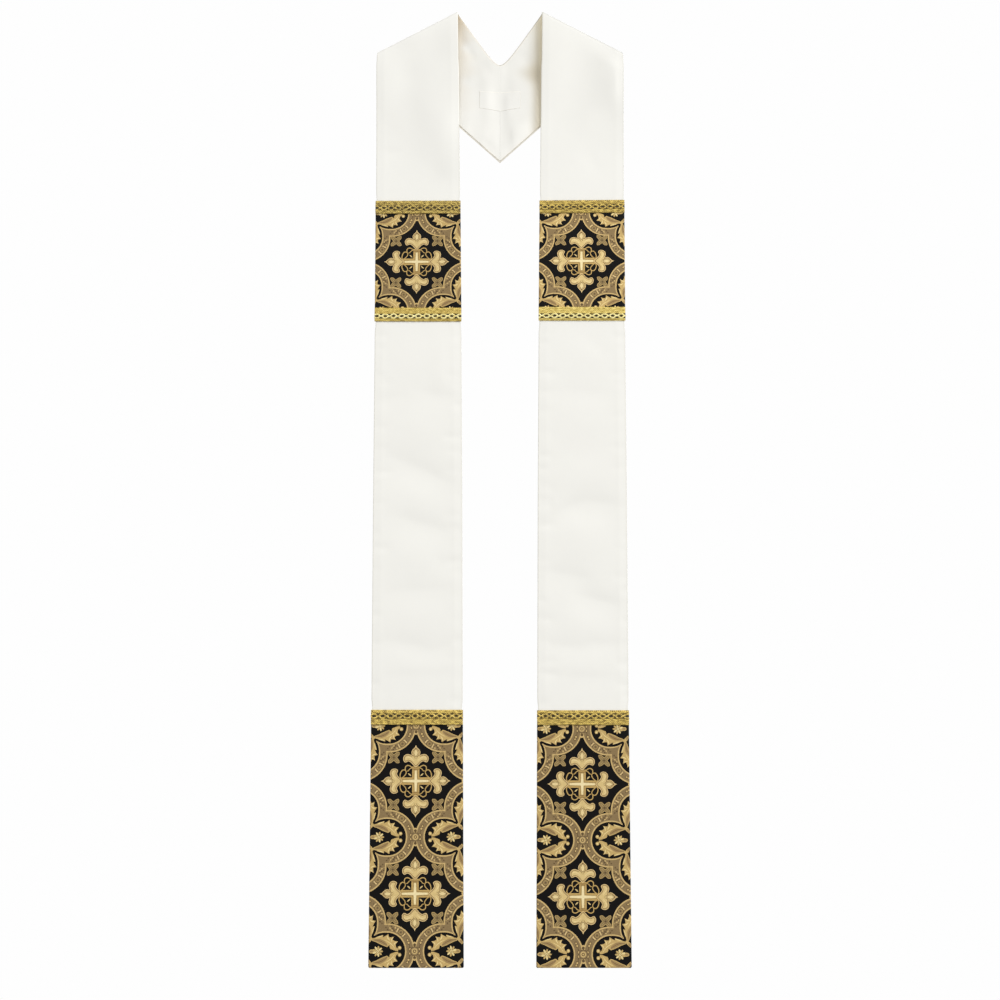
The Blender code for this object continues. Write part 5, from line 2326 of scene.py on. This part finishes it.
@dataclass(frozen=True)
class Studio:
    """A plain pale table, soft lamps, an even fill and the camera."""

    camera_place: Triple = (0.0, -0.5294, 2.2448)
    camera_tilt: float = 12.0
    focal_length_mm: float = 61.2
    sensor_mm: float = 36.0
    table_size: float = 30.0
    table_drop: float = 0.5 * MM
    table_brightness: float = 0.991
    fill: float = 0.64
    lamps: tuple[Lamp, ...] = (
        Lamp(name="key", power=1800.0, azimuth=42.0, elevation=31.0),
        Lamp(name="second", power=750.0, azimuth=120.0, elevation=31.0),
    )

    def table(self) -> Object:
        """Makes the table under the stole.

        Returns:
            The table.
        """
        half = self.table_size / 2.0
        mesh = bpy.data.meshes.new("table")
        corners = [(-half, -half, 0.0), (half, -half, 0.0), (half, half, 0.0), (-half, half, 0.0)]
        mesh.from_pydata(corners, [], [(0, 1, 2, 3)])
        material, tree, shader = new_material("pale_table")
        level = (self.table_brightness,) * 3
        tree.fill(
            shader, Base_Color=(0.0, 0.0, 0.0, 1.0), Specular_IOR_Level=0.0, Emission_Color=(*level, 1.0),
            Emission_Strength=1.0,
        )
        mesh.materials.append(material)
        obj = linked("table", mesh)
        obj.location.z = -self.table_drop
        return obj

    def lights(self) -> None:
        """The lamps, and the fill of the world around."""
        world = bpy.data.worlds.new("studio")
        world.use_nodes = True
        background = world.node_tree.nodes["Background"]
        background.inputs["Color"].default_value = (1.0, 1.0, 1.0, 1.0)
        background.inputs["Strength"].default_value = self.fill
        bpy.context.scene.world = world
        for lamp in self.lamps:
            lamp.build()

    def camera(self) -> None:
        """The camera."""
        lens = bpy.data.cameras.new("camera")
        lens.lens = self.focal_length_mm
        lens.sensor_width = self.sensor_mm
        camera = linked("camera", lens)
        camera.location = self.camera_place
        camera.rotation_euler = (math.radians(self.camera_tilt), 0.0, 0.0)
        bpy.context.scene.camera = camera

    def build(self) -> None:
        """Sets up the stage and the view."""
        self.table()
        self.lights()
        self.camera()
        view = bpy.context.scene.view_settings
        view.view_transform = "Standard"
        view.look = "None"


@dataclass
class Stole:
    """The whole stole."""

    cut: StoleCut = field(default_factory=StoleCut)
    relief: ClothRelief = field(default_factory=ClothRelief)
    figure: BrocadeFigure = field(default_factory=BrocadeFigure)
    braid: BraidPattern = field(default_factory=BraidPattern)
    outer: PlainCloth = PlainCloth("ivory_cloth", (0.793, 0.783, 0.737))
    inner: PlainCloth = PlainCloth("warm_lining", (0.775, 0.764, 0.718), slub=0.02)
    ribbon: PlainCloth = PlainCloth("label_ribbon", (0.777, 0.766, 0.722), thread_mm=0.5)
    brocade: WovenBrocade = WovenBrocade()
    # Lit and shaded copies of one gold thread: the upper bottom galloons' threads are painted lighter, the
    # right border most, and the left upper top galloon painted darker
    gold: GoldThread = GoldThread("gold_thread", "e8cb6a", "6c5315", contrast=3.6)
    shaded_gold: GoldThread = GoldThread("shaded_gold_thread", "dabf66", "594310", contrast=4.4)
    lit_gold: GoldThread = GoldThread("lit_gold_thread", "eed476", "8f721b", contrast=3.0)
    brightly_lit_gold: GoldThread = GoldThread("brightly_lit_gold_thread", "fae488", "a2852a")
    pale_gold: GoldThread = GoldThread("pale_gold_thread", "fcf5b8", "c9b052")
    # Dark painted shade under the holes between the crossing cords
    shadow: GoldThread = GoldThread("braid_ground", "42350f", "1a1405")
    upper_ends: Pair = (0.2013, 0.3728)
    lower_top: float = -0.3379
    upper_crosses: tuple[Pair, Pair] = ((-0.1157, 0.2852), (0.1132, 0.2865))
    lower_crosses: tuple[Pair, Pair] = ((-0.1092, -0.5701), (0.1065, -0.5741))
    leans: tuple[float, float] = (0.2, -0.2)
    # Painted light on the upper bands, the right one lit more
    upper_painted_light: tuple[float, float] = (1.02, 1.14)

    def cloths(self) -> None:
        """The outer cloth and the lining."""
        for half in Half:
            for is_lining, finish in ((False, self.outer), (True, self.inner)):
                report(ClothHalf(self.cut, self.relief, half, is_lining).build(finish))

    def bands(self) -> None:
        """The brocade bands."""
        for half, upper, lower, lean, shade in zip(
            Half, self.upper_crosses, self.lower_crosses, self.leans, self.upper_painted_light
        ):
            for name, ends, cross, wraps_hem, painted_shading in (
                ("upper", self.upper_ends, upper, False, shade),
                ("lower", (self.cut.hem_y, self.lower_top), lower, True, BrocadeBand.shade),
            ):
                start = (self.cut, self.relief, self.figure, half, name, *ends)
                report(BrocadeBand(*start, cross, lean, wraps_hem, painted_shading).build(self.brocade))

    def galloons(self) -> None:
        """The lengths of galloon."""
        for half, name, top, tilt, pitch, free_edge, shift, chain_off, chain, border in (
            (Half.LEFT, "upper_top", 375.3, 0.2, 10.3, 1.0, 2.1, -1.4, self.shaded_gold, self.shaded_gold),
            (Half.LEFT, "upper_bottom", 218.2, 0.0, 11.6, -1.0, 5.0, -2.7, self.pale_gold, self.lit_gold),
            (Half.LEFT, "lower", -334.7, 0.0, 10.8, 1.0, 7.7, 1.4, self.gold, self.gold),
            (Half.RIGHT, "upper_top", 376.4, 0.5, 10.3, 1.0, 6.4, -1.0, self.gold, self.gold),
            (Half.RIGHT, "upper_bottom", 219.4, 0.0, 11.6, -1.0, 9.3, -3.3, self.pale_gold, self.brightly_lit_gold),
            (Half.RIGHT, "lower", -335.3, 0.0, 10.8, 1.0, 12.0, 1.9, self.gold, self.gold),
        ):
            braid = replace(self.braid, pitch=pitch * MM, chain_off=chain_off * MM)
            place = (half, name, top * MM, shift * MM, free_edge, tilt * MM)
            for piece in Galloon(self.cut, self.relief, braid, *place).build(border, chain, self.shadow):
                report(piece)

    def build(self) -> None:
        """Makes every piece in turn."""
        self.cloths()
        self.bands()
        self.galloons()
        report(NeckLabel(self.cut, self.relief).build(self.ribbon))


def report(obj: Object) -> None:
    """Logs a piece and its number of triangles."""
    LOG.info("%s: %d triangles", obj.name, sum(len(polygon.vertices) - 2 for polygon in obj.data.polygons))


def main() -> None:
    """Builds the stole and the studio."""
    logging.basicConfig(level=logging.INFO, format="%(message)s")
    Stole().build()
    Studio().build()


if __name__ == "__main__":
    main()
